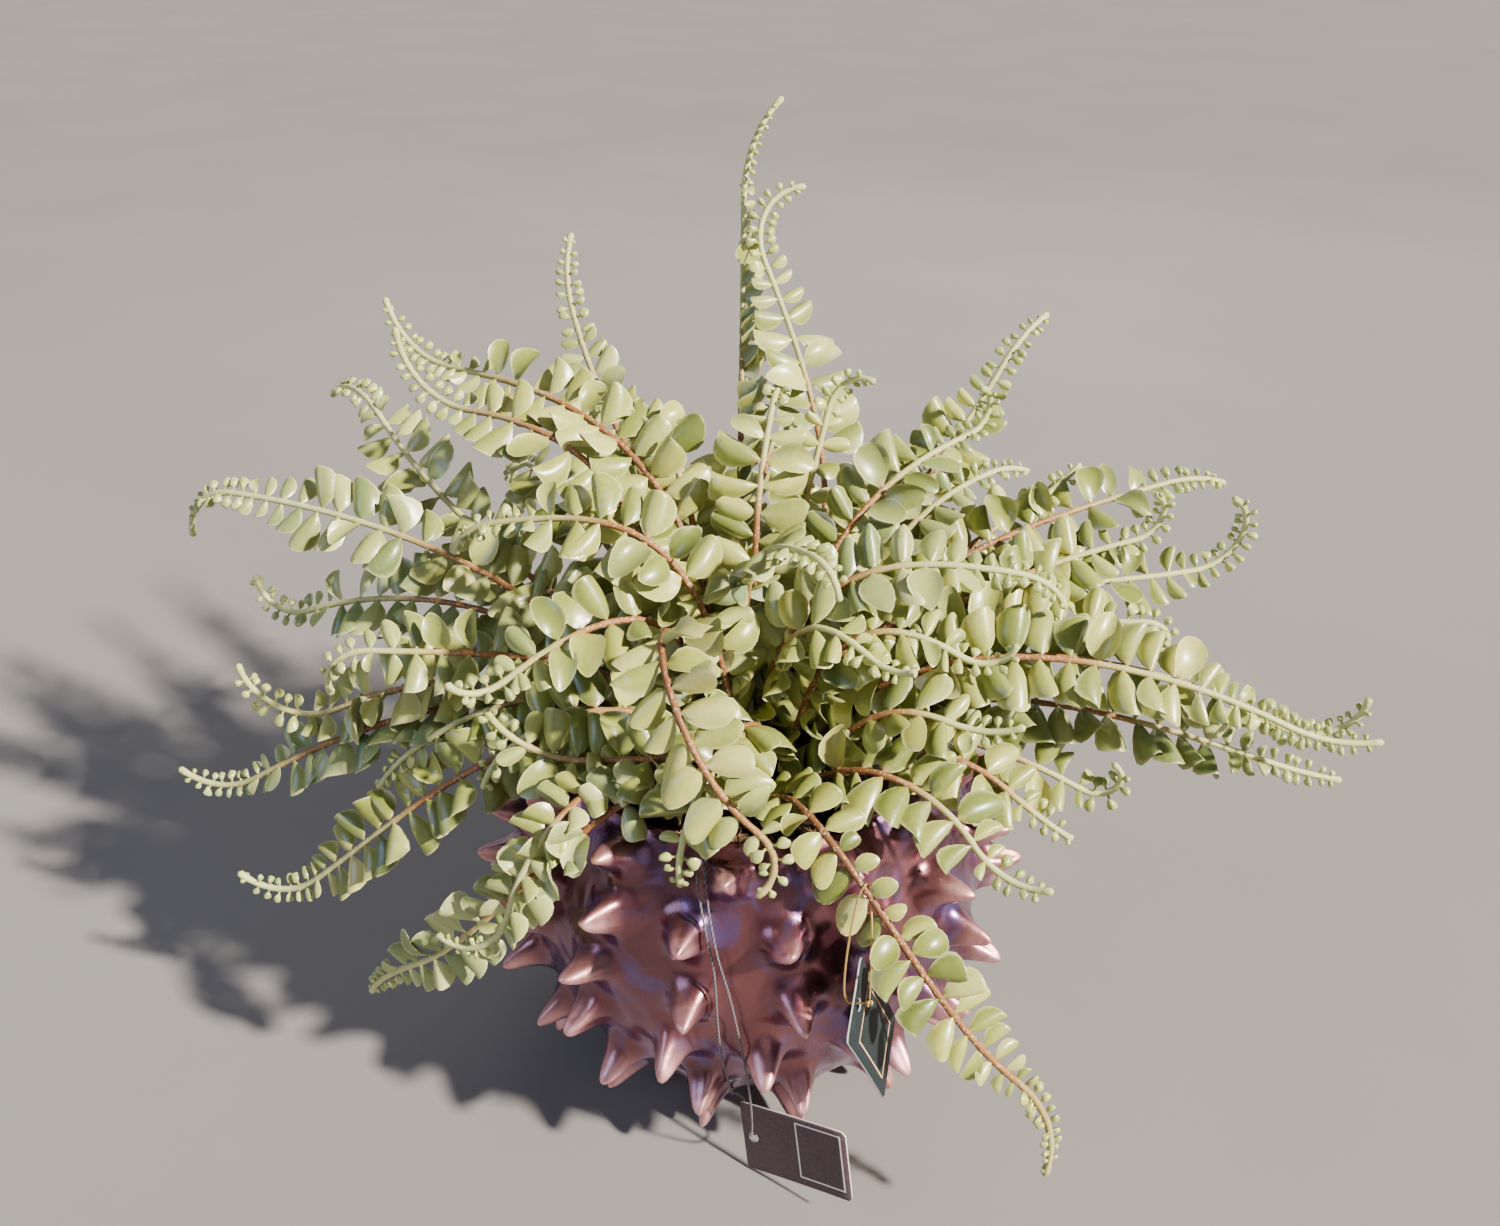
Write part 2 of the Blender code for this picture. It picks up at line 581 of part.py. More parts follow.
def trial_tree(rib, start, size, hand, tilt, scale):
    """Search tree of a leaflet that is thicker and wider by the margin."""
    root = LEAF_ROOT * size
    upper, lower = leaf_points(rib, start, size, hand, tilt, scale, LEAF_MARGIN)
    first, last = rib.section(start), rib.section(start + 2 * root)
    top = [first[0]] + upper + [last[0]]
    low = [first[1 if hand > 0 else 2]] + lower + [last[1 if hand > 0 else 2]]
    faces = leaf_faces(list(range(5)), list(range(5, 10)))
    return BVHTree.FromPolygons([Vector(p) for p in top + low], faces)


def rib_tree(rib):
    """Search tree of a rib that is thicker by the clearance, for other fronds' leaflets."""
    places, faces = [], []
    for index, length in enumerate(np.linspace(0, rib.total, 60)):
        place, _, side, up = rib.at(length)
        for k in range(4):
            turn = pi / 2 * k
            places.append(Vector(place + (cos(turn) * side + sin(turn) * up) * RIB_REACH))
        if index:
            old, new = 4 * index - 4, 4 * index
            for k in range(4):
                after = (k + 1) % 4
                faces.append((old + k, old + after, new + after, new + k))
    return BVHTree.FromPolygons(places, faces)


def mesh_tree(item):
    """Search tree of a finished object."""
    graph = bpy.context.evaluated_depsgraph_get()
    seen = item.evaluated_get(graph)
    mesh = seen.to_mesh()
    tree = BVHTree.FromPolygons([v.co for v in mesh.vertices], [p.vertices for p in mesh.polygons])
    seen.to_mesh_clear()
    return tree


def choose_leaf(rib, start, size, hand, obstacles):
    """First tilt and scale at which a leaflet is clear of everything, or none."""
    for tilt, scale in LEAF_TRIES:
        tree = trial_tree(rib, start, size, hand, tilt, scale)
        if not any(tree.overlap(other) for other in obstacles):
            return tilt, scale, tree
    return None


def make_frond(plan, rib, obstacles, material):
    """One closed solid: a three-sided rib whose flanks carry the leaflets. Returns the
    leaflets' search trees."""
    places, faces, own = [], [], []
    plan_of_rib = stations(rib)
    rings = []
    for length, _ in plan_of_rib:
        rings.append(tuple(range(len(places), len(places) + 3)))
        places += rib.section(length)
    faces.append(tuple(reversed(rings[0])))
    faces.append(rings[-1])
    for index, (old, new) in enumerate(zip(rings, rings[1:])):
        start, size = plan_of_rib[index]
        faces += [(old[1], new[1], new[2]), (old[1], new[2], old[2])]
        for hand, corner in ((1, 1), (-1, 2)):
            chosen = choose_leaf(rib, start, size, hand, obstacles + own[:-2]) if size else None
            if chosen:
                tilt, scale, tree = chosen
                own.append(tree)
                upper, lower = leaf_points(rib, start, size, hand, tilt, scale)
                top = [old[0]] + [len(places) + k for k in range(3)] + [new[0]]
                low = [old[corner]] + [len(places) + 3 + k for k in range(3)] + [new[corner]]
                places += upper + lower
                skin = leaf_faces(top, low)
            else:
                skin = [(old[0], new[0], new[corner]), (old[0], new[corner], old[corner])]
            faces += skin if hand > 0 else [tuple(reversed(face)) for face in skin]
    mesh = mesh_from("frond_" + plan["name"], places, faces)
    face_outwards(mesh)
    add_object("frond_" + plan["name"], mesh, material)
    return own


def main():
    clear_scene()
    copper = make_material("pot_copper", (0.33, 0.13, 0.13), 0.3, 0.9)
    peat = make_material("soil_peat", (0.10, 0.06, 0.035), 0.95)
    leaf = make_material("leaf_green", (0.42, 0.50, 0.22), 0.5)
    black = make_material("card_black", (0.03, 0.03, 0.035), 0.45)
    grey = make_material("cord_grey", (0.10, 0.10, 0.11), 0.8)
    gold = make_material("cord_gold", (0.70, 0.45, 0.12), 0.4, 0.6)

    pot = make_pot(copper)
    stems = [polar(plan["root"][0] * MM, plan["root"][1], SOIL_HEIGHT) for plan in FRONDS]
    soil = make_soil(peat, stems)

    cards = [make_card("front_tag", FRONT_CARD, black), make_card("side_tag", SIDE_CARD, black)]
    cords = [make_cord("front_tag_cord", GREY_ROUTE, 80, GREY_CORD, grey),
             make_cord("side_tag_cord", GOLD_ROUTE, 34, GOLD_CORD, gold)]
    knot = make_knot("side_tag_knot", GOLD_KNOT, GOLD_KNOT_RADIUS, gold)

    ribs = [Rib(plan) for plan in FRONDS]
    trees = [rib_tree(rib) for rib in ribs]
    fixed = [mesh_tree(item) for item in (pot, soil, knot, *cards, *cords)]
    grown = []
    for index, plan in enumerate(FRONDS):
        others = trees[:index] + trees[index + 1:]
        grown += make_frond(plan, ribs[index], fixed + others + grown, leaf)


main()
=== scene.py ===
from math import cos, pi, radians, sin, sqrt

import bpy
import numpy as np
from mathutils import Matrix


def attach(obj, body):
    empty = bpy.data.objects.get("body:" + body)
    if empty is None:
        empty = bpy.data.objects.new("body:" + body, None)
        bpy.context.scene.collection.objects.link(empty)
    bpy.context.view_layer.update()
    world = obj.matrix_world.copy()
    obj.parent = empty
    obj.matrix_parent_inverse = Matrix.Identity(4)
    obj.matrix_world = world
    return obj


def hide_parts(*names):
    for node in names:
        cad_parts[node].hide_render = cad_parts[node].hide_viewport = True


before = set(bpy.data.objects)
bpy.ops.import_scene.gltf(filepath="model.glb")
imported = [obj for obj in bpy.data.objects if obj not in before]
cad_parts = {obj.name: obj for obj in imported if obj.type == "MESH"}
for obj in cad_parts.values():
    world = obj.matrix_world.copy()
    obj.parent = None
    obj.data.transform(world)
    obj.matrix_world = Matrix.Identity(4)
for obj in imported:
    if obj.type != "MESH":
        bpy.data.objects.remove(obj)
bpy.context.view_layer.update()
mm = 0.001
print("frame: loaded", len(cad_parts), "CAD nodes")


# shared: vectors, skins, pieces

def unit(vectors):
    return vectors / np.linalg.norm(vectors, axis=-1, keepdims=True)


def smoothStep(low, high, value):
    # 3t^2 - 2t^3 with t running from 0 at low to 1 at high
    t = np.clip((value - low) / (high - low), 0, 1)
    return t * t * (3 - 2 * t)


def polar(distance, azimuth, height):
    return np.array((distance * cos(radians(azimuth)), distance * sin(radians(azimuth)), height))


def turned(angle, first, second):
    # two axes turned in their plane: cos first + sin second, and cos second - sin first
    return (np.cos(angle) * first + np.sin(angle) * second,
            np.cos(angle) * second - np.sin(angle) * first)


def carry(line, firstSide):
    # axes along a line: ahead is its slope; side is the last side less its part along ahead
    # (parallel transport), up = ahead x side
    ahead = unit(np.gradient(line, axis=0))
    side = np.empty_like(line)
    held = np.asarray(firstSide, float)
    for ring, way in enumerate(ahead):
        held = held - held.dot(way) * way
        held = held / sqrt(held.dot(held))
        side[ring] = held
    return ahead, side, np.cross(ahead, side)


def circle(around):
    # angles of the points of a ring
    return 2 * pi * np.arange(around) / around


def levelRing(radius, height, around):
    # a level ring of points about the axis
    turn = circle(around)
    return np.stack((radius * np.cos(turn), radius * np.sin(turn), np.full(around, height)), -1)


def ringQuads(ring, nextRing, around):
    # quads from the points of each ring, numbered from its start, to those of the next ring
    step = np.arange(around)
    after = (step + 1) % around
    corners = ring + step, ring + after, nextRing + after, nextRing + step
    return np.stack(np.broadcast_arrays(*corners), -1).reshape(-1, 4)


def shells(grids, first, last, marks, finish=0):
    # each of the grids (count, rings, around, 3) becomes a closed skin: quads between its
    # rings, and triangles to one point at either end
    count, rings, around = grids.shape[:3]
    size = rings * around + 2
    points = np.concatenate((grids.reshape(count, -1, 3), first[:, None], last[:, None]), axis=1)
    ring, step = np.arange(rings)[:, None] * around, np.arange(around)
    after = (step + 1) % around
    quads = ringQuads(ring[:-1], ring[1:], around)
    caps = np.concatenate((np.stack((np.full(around, size - 2), after, step), -1),
                           np.stack((np.full(around, size - 1), ring[-1] + step, ring[-1] + after), -1)))
    starts = np.arange(count)[:, None, None] * size
    values = {}
    for name, value in marks.items():
        value = np.broadcast_to(value, (count, rings, around))
        values[name] = np.concatenate((value.reshape(count, -1), value[:, 0].max(-1)[:, None],
                                       value[:, -1].max(-1)[:, None]), axis=1).ravel()
    return dict(points=points.reshape(-1, 3), quads=(quads + starts).reshape(-1, 4),
                caps=(caps + starts).reshape(-1, 3), marks=values, finish=finish)


def sleeve(line, side, up, radius):
    # ring k is line(k) + radius(k, angle) * (cos(angle) side(k) + sin(angle) up(k))
    angle = circle(radius.shape[1])[:, None]
    return line[:, None] + radius[..., None] * (np.cos(angle) * side[:, None]
                                                + np.sin(angle) * up[:, None])


def tube(line, firstSide, radius, marks):
    # a sleeve along a line, with a low point at either end
    ahead, side, up = carry(line, firstSide)
    tips = [line[k] + s * ahead[k] * radius[k].mean() * 0.6 for k, s in ((0, -1), (-1, 1))]
    return shells(sleeve(line, side, up, radius)[None], tips[0][None], tips[1][None], marks)


def link(thing):
    bpy.context.scene.collection.objects.link(thing)
    return thing


def makePiece(name, skins, materials, nodes, crease=None):
    # one mesh of several skins, with their marks as attributes; edges between two points
    # where the mark crease is 1 are sharp; it rides on the root and stands for its CAD nodes
    starts = np.cumsum([0] + [len(skin["points"]) for skin in skins])
    faces, finish = [], []
    for part in ("quads", "caps"):
        for skin, start in zip(skins, starts):
            faces += (skin[part] + start).tolist()
            finish += [skin["finish"]] * len(skin[part])
    mesh = bpy.data.meshes.new(name)
    mesh.from_pydata(np.concatenate([skin["points"] for skin in skins]), [], faces, False)
    mesh.polygons.foreach_set("material_index", finish)
    for mark in sorted({key for skin in skins for key in skin["marks"]}):
        values = np.concatenate([skin["marks"].get(mark, np.zeros(len(skin["points"])))
                                 for skin in skins])
        if mark == crease:
            pairs = np.empty(2 * len(mesh.edges), np.int32)
            mesh.edges.foreach_get("vertices", pairs)
            mesh.edges.foreach_set("use_edge_sharp", values[pairs].reshape(-1, 2).min(axis=1) > 0.9)
        else:
            mesh.attributes.new(mark, "FLOAT", "POINT").data.foreach_set("value", values)
    for material in materials:
        mesh.materials.append(material)
    piece = link(bpy.data.objects.new(name, mesh))
    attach(piece, "root")
    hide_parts(*nodes)
    return piece


# camera

cameraSet = dict(place=(0.0, -0.501, 0.567), lean=58.6, lens=30.0, sensor=36.0)


def addCamera(plan):
    data = bpy.data.cameras.new("camera")
    data.lens = plan["lens"]
    data.sensor_width = plan["sensor"]
    data.sensor_fit = "HORIZONTAL"
    data.clip_start = 0.01
    camera = link(bpy.data.objects.new("camera", data))
    camera.location = plan["place"]
    camera.rotation_euler = (radians(plan["lean"]), 0, 0)
    bpy.context.scene.camera = camera


addCamera(cameraSet)
print("camera: at the photograph's viewing angle")


# shader wiring

class Wire:
    # one output of a node; arithmetic on it adds Math nodes
    def __init__(self, tree, socket=None):
        self.tree = tree
        self.socket = socket

    def node(self, kind, settings=None, inputs=None, output=0):
        made = self.tree.nodes.new("ShaderNode" + kind)
        for name, value in (settings or {}).items():
            if name == "stops":
                ramp = made.color_ramp
                while len(ramp.elements) < len(value):
                    ramp.elements.new(1.0)
                for element, (place, colour) in zip(ramp.elements, value):
                    element.position = place
                    element.color = (*colour, 1.0)
            else:
                setattr(made, name, value)
        for name, value in (inputs or {}).items():
            if isinstance(value, Wire):
                self.tree.links.new(value.socket, made.inputs[name])
            else:
                made.inputs[name].default_value = value
        return Wire(self.tree, made.outputs[output])

    def maths(self, operation, first, second=0.0):
        return self.node("Math", {"operation": operation}, {0: first, 1: second})

    def __add__(self, other):
        return self.maths("ADD", self, other)

    def __radd__(self, other):
        return self.maths("ADD", other, self)

    def __sub__(self, other):
        return self.maths("SUBTRACT", self, other)

    def __rsub__(self, other):
        return self.maths("SUBTRACT", other, self)

    def __mul__(self, other):
        return self.maths("MULTIPLY", self, other)

    def __rmul__(self, other):
        return self.maths("MULTIPLY", other, self)

    def between(self, low, high):
        # 0 below low, 1 above high, smooth in between
        return self.node("MapRange", {"interpolation_type": "SMOOTHSTEP"},
                         {"Value": self, "From Min": low, "From Max": high})

    def mix(self, first, second):
        # from the first colour to the second as this value goes from 0 to 1
        def whole(colour):
            return colour if isinstance(colour, Wire) else (*colour, 1.0)
        return self.node("Mix", {"data_type": "RGBA"},
                         {0: self, 6: whole(first), 7: whole(second)}, 2)

    def ramp(self, *stops):
        return self.node("ValToRGB", {"stops": stops}, {0: self})

    def mark(self, name):
        return self.node("Attribute", {"attribute_name": name}, None, "Fac")

    def noise(self, scale, detail=2.0, stretch=None, roughness=0.5, distortion=0.0):
        place = self.node("TexCoord", None, None, "Object")
        if stretch:
            place = self.node("Mapping", None, {0: place, 3: stretch})
        return self.node("TexNoise", None, {"Vector": place, "Scale": scale, "Detail": detail,
                                            "Roughness": roughness, "Distortion": distortion})

    def bump(self, height, strength, distance):
        return self.node("Bump", None, {"Height": height, "Strength": strength,
                                        "Distance": distance})


def makeMaterial(name, paint, **fixed):
    # paint(wire) gives the values of the shader's sockets that change over the surface
    material = bpy.data.materials.new(name)
    material.use_nodes = True
    tree = material.node_tree
    shader = tree.nodes["Principled BSDF"]
    for key, value in fixed.items():
        shader.inputs[key.replace("_", " ")].default_value = value
    for key, value in paint(Wire(tree)).items():
        tree.links.new(value.socket, shader.inputs[key])
    return material


# cords: the grey string of the front tag, the gold cord of the side tag

def smoothRoute(route, count):
    # Catmull-Rom curve through the route, read at even steps of its length
    spots = np.array(route, float) * mm
    spots = np.vstack((2 * spots[0] - spots[1], spots, 2 * spots[-1] - spots[-2]))
    t = np.linspace(0, 1, 20, endpoint=False)[None, :, None]
    a, b, c, d = (spots[k:len(spots) - 3 + k, None] for k in range(4))
    curve = 0.5 * (2 * b + (c - a) * t + (2 * a - 5 * b + 4 * c - d) * t ** 2
                   + (3 * b - a - 3 * c + d) * t ** 3)
    curve = np.vstack((curve.reshape(-1, 3), spots[-2]))
    lengths = np.append(0, np.linalg.norm(np.diff(curve, axis=0), axis=1).cumsum())
    even = np.linspace(0, lengths[-1], count)
    return np.column_stack([np.interp(even, lengths, curve[:, k]) for k in range(3)]), lengths[-1]


greyString = dict(
    radius=0.55 * mm, strands=2, twist=5.2 * mm, step=0.8 * mm, around=12, side=(1, 0, 0),
    route=((-19, -74, 182.5), (-19.4, -75.6, 188), (-20.2, -80.2, 196.5), (-20.6, -87.6, 201.2),
           (-20.4, -95, 200), (-19.4, -102, 193.5), (-18.4, -108, 186), (-17.2, -113, 177),
           (-13.9, -121, 162.5), (-9.1, -124, 141.9), (-5.5, -124.6, 120), (-3.2, -124, 103.5),
           (-1, -122, 82), (0.4, -118, 60), (1, -113.8, 40), (0.6, -110.6, 29),
           (0.6, -108.1, 23.3), (1.93, -105.7, 21.6), (3.5, -103.1, 21.1), (4.2, -100.2, 22.6),
           (3, -97.4, 26), (-0.5, -95, 30.5), (-4.4, -94.4, 36.5), (-7.4, -97.4, 43),
           (-9, -104, 52), (-10.4, -111.5, 70), (-12.2, -118.5, 90), (-13.5, -122.4, 107),
           (-14.5, -124, 129), (-15, -123, 145), (-16, -120.8, 157), (-19.2, -114.8, 172),
           (-21.2, -109.6, 182), (-22.8, -103, 192), (-23.4, -96, 199), (-23.8, -87.6, 201.4),
           (-23.4, -79.6, 196.5), (-22.6, -75.4, 188), (-22.2, -74, 182.5)))

goldCord = dict(
    radius=0.5 * mm, strands=3, twist=2.6 * mm, step=0.3 * mm, around=12, side=(1, 0, 0),
    route=((50, -138.8, 156.8), (50.3, -136.5, 161), (50.8, -129.5, 172.5), (51, -121, 185),
           (50.2, -114.6, 192.8), (49.7, -112.9, 196.4), (49.2, -113.9, 198.4),
           (47.8, -115.6, 198.6), (46.3, -116.8, 196.4), (44.6, -119, 192), (42, -125, 182),
           (40, -131.5, 169), (39.5, -136, 159), (40.6, -137.4, 154.8), (42.3, -138.1, 153.6),
           (44.7, -138.8, 154.2), (47.9, -139.5, 155)))

goldKnot = dict(place=(49.7, -139.9, 155.4), size=0.46 * mm, radius=0.5 * mm, rings=120,
                around=10, strands=3, twists=14, gap=0.06)


def stringSkin(plan):
    # a rope of a few strands: radius falls between the strands as |cos(strands/2 * angle)|,
    # and the pattern turns once in every twist of length
    _, length = smoothRoute(plan["route"], 2)
    rings = int(length / plan["step"])
    line, _ = smoothRoute(plan["route"], rings)
    along = np.linspace(0, length, rings)[:, None]
    turn = circle(plan["around"]) - 2 * pi * along / plan["twist"]
    lobe = np.abs(np.cos(plan["strands"] / 2 * turn))
    radius = plan["radius"] * (0.74 + 0.28 * lobe ** 0.6)
    return tube(line, plan["side"], radius, dict(lobe=lobe[None])), length


def paintGreyString(w):
    lobe = w.mark("lobe")
    fuzz = w.noise(2600, 3)
    # the crowns of the strands are painted lighter and the grooves between them darker: painted highlight and
    # painted shade
    colour = (lobe * 0.7 + fuzz * 0.3).ramp((0.1, (0.016, 0.014, 0.015)), (0.55, (0.085, 0.074, 0.078)),
                                            (0.95, (0.25, 0.22, 0.226)))
    return {"Base Color": colour, "Roughness": 0.6 + fuzz * 0.3,
            "Normal": w.bump(fuzz, 0.5, 0.0002)}


def paintGoldCord(w):
    lobe = w.mark("lobe")
    glint = w.noise(1500, 2)
    # the crowns of the strands are painted lighter and the grooves between them darker: painted highlight and
    # painted shade
    colour = (lobe * 0.6 + glint * 0.4).ramp((0.15, (0.16, 0.07, 0.015)), (0.5, (0.62, 0.36, 0.08)),
                                             (0.85, (0.95, 0.72, 0.3)))
    return {"Base Color": colour, "Roughness": 0.22 + glint * 0.25,
            "Normal": w.bump(glint, 0.4, 0.0002)}


greyThread = makeMaterial("string_grey", paintGreyString, Sheen_Weight=0.15)
goldThread = makeMaterial("thread_gold", paintGoldCord, Metallic=0.75)

greySkin, greyLength = stringSkin(greyString)
goldSkin, goldLength = stringSkin(goldCord)
greyPiece = makePiece("string_of_front_tag", [greySkin], [greyThread], ["front_tag_cord"])
goldPiece = makePiece("cord_of_side_tag", [goldSkin], [goldThread], ["side_tag_cord"])


def knotSkin(plan):
    # a small trefoil that lies along the card: x = sin t + 2 sin 2t, y = -1.2 sin 3t,
    # z = cos t - 2 cos 2t, with strands as the cord's
    t = np.linspace(plan["gap"], 2 * pi - plan["gap"], plan["rings"])
    line = np.column_stack((np.sin(t) + 2 * np.sin(2 * t), -1.2 * np.sin(3 * t),
                            np.cos(t) - 2 * np.cos(2 * t))) * plan["size"]
    line = line + np.array(plan["place"]) * mm
    turn = circle(plan["around"]) - plan["twists"] * t[:, None]
    lobe = np.abs(np.cos(plan["strands"] / 2 * turn))
    return tube(line, (0, 0, 1), plan["radius"] * (0.8 + 0.22 * lobe), dict(lobe=lobe[None]))


knotPiece = makePiece("knot_of_side_cord", [knotSkin(goldKnot)], [goldThread], ["side_tag_knot"])
print("cords: grey string %.3f m, gold cord %.3f m" % (greyLength, goldLength))


# tags: two dark cards, each with a round hole for its cord

cardShape = dict(length=60 * mm, width=38 * mm, thickness=0.9 * mm, hole=2.7 * mm, inset=6 * mm,
                 corner=1.6 * mm, edge=0.12 * mm, bow=0.35 * mm, around=144, rings=14, gather=1.3)
frontCard = dict(corner=(-0.5, -108.2, 0.8), along=(0.832, -0.493, 0.254), across=(-0.115, 0.294, 0.949))
sideCard = dict(corner=(47.6, -122.3, 164.4), along=(0.321, 0.247, -0.914),
                across=(-0.204, -0.924, -0.322))


def cardSkin(shape, pose):
    # rings run from the hole's circle to a rectangle with round corners on one face, over
    # the edge and back on the other: point = (1 - s) hole(turn) + s outline(turn)
    corner = np.array(pose["corner"]) * mm
    along = unit(np.array(pose["along"]))
    across = unit(np.array(pose["across"]) - np.dot(pose["across"], along) * along)
    face = np.cross(along, across)
    length, width, radius, edge = (shape[key] for key in ("length", "width", "corner", "edge"))
    turn = circle(shape["around"])
    ways = np.column_stack((np.cos(turn), np.sin(turn)))
    middle = np.array((shape["inset"], width / 2))
    low, high = np.array((radius, radius)), np.array((length - radius, width - radius))
    reach = np.where(ways > 0, high + radius - middle, middle - low + radius) / np.maximum(abs(ways), 1e-9)
    outline = middle + ways * reach.min(axis=1)[:, None]  # where the ray meets the sharp rectangle
    inner = np.clip(outline, low, high)
    gap = outline - inner
    size = np.linalg.norm(gap, axis=1, keepdims=True)
    outline = inner + gap / np.maximum(size, 1e-9) * np.minimum(size, radius)
    hole = middle + shape["hole"] * ways
    s = np.linspace(0, 1, shape["rings"]) ** shape["gather"]
    flat = (1 - s)[:, None, None] * hole + s[:, None, None] * outline
    flat[0] -= unit(middle - hole) * edge
    flat[-1] += unit(middle - outline) * edge
    top = shape["thickness"]
    plane = np.concatenate((flat, [outline, outline], flat[::-1], [hole, hole]))
    level = np.repeat((top, top - edge, edge, 0, edge, top - edge), (len(s), 1, 1, len(s), 1, 1))[:, None]
    level = level + shape["bow"] * (4 * (plane[..., 0] / length - 0.5) ** 2 - 1)
    grid = corner + plane[..., :1] * along + plane[..., 1:] * across + level[..., None] * face
    count, around = grid.shape[:2]
    ring = np.arange(count)[:, None] * around
    quads = ringQuads(ring, np.roll(ring, -1, axis=0), around)[:, (0, 3, 2, 1)]
    rim = np.zeros((count, around))
    rim[len(s):len(s) + 2] = rim[-2:] = 1
    marks = dict(rim=rim.ravel(), across=(plane[..., 1] / mm).ravel(), along=(plane[..., 0] / mm).ravel())
    return dict(points=grid.reshape(-1, 3), quads=quads, caps=np.zeros((0, 3), int), marks=marks, finish=0)


# each card's finish: two face colours, the scuffs, the ink, and the middle and half size of
# the outlined panel, in mm along and across
frontPrint = dict(dark=(0.088, 0.054, 0.058), pale=(0.128, 0.082, 0.086), worn=(0.18, 0.136, 0.142),
                  ink=(0.98, 0.95, 0.93), middle=(44.1, 19.7), half=(12.4, 15.1))
sidePrint = dict(dark=(0.008, 0.013, 0.015), pale=(0.016, 0.024, 0.027), worn=(0.05, 0.058, 0.062),
                 ink=(0.85, 0.48, 0.26), middle=(33.0, 19.0), half=(19.0, 12.6))


def paintCard(w, design):
    # varnished board with a pale core at its edges and a plain outline
    grain = w.noise(900, 4)
    scuff = w.noise(130, 3, (1, 1, 3)).between(0.56, 0.74)
    face = grain.ramp((0.3, design["dark"]), (0.7, design["pale"]))
    face = (scuff * 0.35).mix(face, design["worn"])
    # the line is where |max(|along - middle| - half, |across - middle| - half)| is near 0
    aside = w.maths("ABSOLUTE", w.mark("along") - design["middle"][0]) - design["half"][0]
    above = w.maths("ABSOLUTE", w.mark("across") - design["middle"][1]) - design["half"][1]
    line = w.maths("ABSOLUTE", w.maths("MAXIMUM", aside, above))
    ink = (1 - line.between(0.28, 0.52)) * (0.75 + w.noise(500, 2) * 0.3)
    face = (ink * 0.95).mix(face, design["ink"])
    core = w.noise(1600, 3).ramp((0.3, (0.5, 0.48, 0.47)), (0.7, (0.8, 0.78, 0.76)))
    return {"Base Color": w.mark("rim").between(0.45, 0.75).mix(face, core),
            "Roughness": 0.52 + grain * 0.22 + scuff * 0.12,
            "Normal": w.bump(grain, 0.18, 0.0002)}


plumCard = makeMaterial("card_plum", lambda w: paintCard(w, frontPrint), Specular_IOR_Level=0.25)
blackCard = makeMaterial("card_black", lambda w: paintCard(w, sidePrint), Specular_IOR_Level=0.2)
frontPiece = makePiece("card_of_front_tag", [cardSkin(cardShape, frontCard)], [plumCard],
                       ["front_tag"])
sidePiece = makePiece("card_of_side_tag", [cardSkin(cardShape, sideCard)], [blackCard],
                      ["side_tag"])
smoothRoute(greyString["route"], 200)[0]
smoothRoute(goldCord["route"], 80)[0]
print("tags: two cards")


# pot: egg-shaped body with rows of blunt spikes

pot = dict(
    radius=118 * mm, halfHeight=126 * mm, middle=120 * mm, rim=198 * mm, foot=42 * mm,
    wall=5 * mm, floor=8 * mm, hollow=1.4 * mm, uneven=0.75 * mm,
    columns=440, rows=172, gather=13 * mm, gatherPower=1.5, lowest=2 * mm, belowRim=1.2 * mm,
    # latitude, number in the row, azimuth of the first one, length
    spikes=((32, 13, 264, 21), (19, 17, 256, 22), (5, 16, 257, 22), (-9, 17, 273, 22),
            (-22, 16, 260, 22), (-35, 14, 283, 21), (-47, 11, 255, 18)),
    aside=1.5, above=0.7, lean=(0.03, 0.15), ridges=(2, 5), facets=(0.12, 0.3), facetReach=9,
    # distance from a spike's axis in mm, share of its length
    profile=((0, 1.0), (0.7, 0.99), (1.4, 0.96), (2.1, 0.905), (2.9, 0.82), (3.8, 0.7), (4.8, 0.56),
             (5.9, 0.43), (7.1, 0.315), (8.5, 0.215), (10.2, 0.13), (12.2, 0.068), (14.6, 0.02), (17, 0)),
    # rings in mm: under the foot as distance from the axis and height, over the lip as
    # distance in from the outside and height over the rim, inside as height
    under=((16.8, 1.4), (27.72, 1.3), (30.24, 0.2), (32.76, 0), (39.6, 0), (41.1, 0.5)),
    over=((0, -0.5), (0.5, 0.3), (1.6, 0.8), (3, 0.8), (4.3, 0.2), (5, -1.2)),
    inside=(192, 186, 180, 150, 110, 60, 22))
potChance = np.random.default_rng(7)


def bodyRadius(height):
    # half width of the egg: radius * sqrt(1 - ((z - middle) / halfHeight)^2)
    return pot["radius"] * np.sqrt(1 - ((height - pot["middle"]) / pot["halfHeight"]) ** 2)


def spikeSites():
    # the way and length of each spike: each row's stand at even azimuths, moved by up to
    # aside and above degrees
    ways, lengths = [], []
    for latitude, count, first, length in pot["spikes"]:
        for number in range(count):
            aside, above = potChance.uniform(-1, 1, 2)
            azimuth = radians(first + 360 * number / count + pot["aside"] * aside)
            lift = radians(latitude + pot["above"] * above)
            ways.append((cos(lift) * cos(azimuth), cos(lift) * sin(azimuth), sin(lift)))
            lengths.append(length * mm)
    return np.array(ways), np.array(lengths)


siteWays, siteLengths = spikeSites()
siteSides = unit(np.cross((0, 0, 1), siteWays))
siteUps = np.cross(siteWays, siteSides)
siteRidges = potChance.integers(*pot["ridges"], len(siteWays))  # blunt ridges up each spike
sitePhases = potChance.uniform(0, 2 * pi, len(siteWays))
siteFacets = potChance.uniform(*pot["facets"], len(siteWays))
# the profile at fine steps, its corners blurred by a bell curve
fineStep = np.linspace(0, 20, 401)
profileLine = np.interp(fineStep, *zip(*pot["profile"]))
blur = np.exp(-0.5 * (np.arange(-12, 13) / 5.0) ** 2)
profileLine = np.convolve(np.pad(profileLine, 12, mode="reflect"), blur / blur.sum(), "valid")


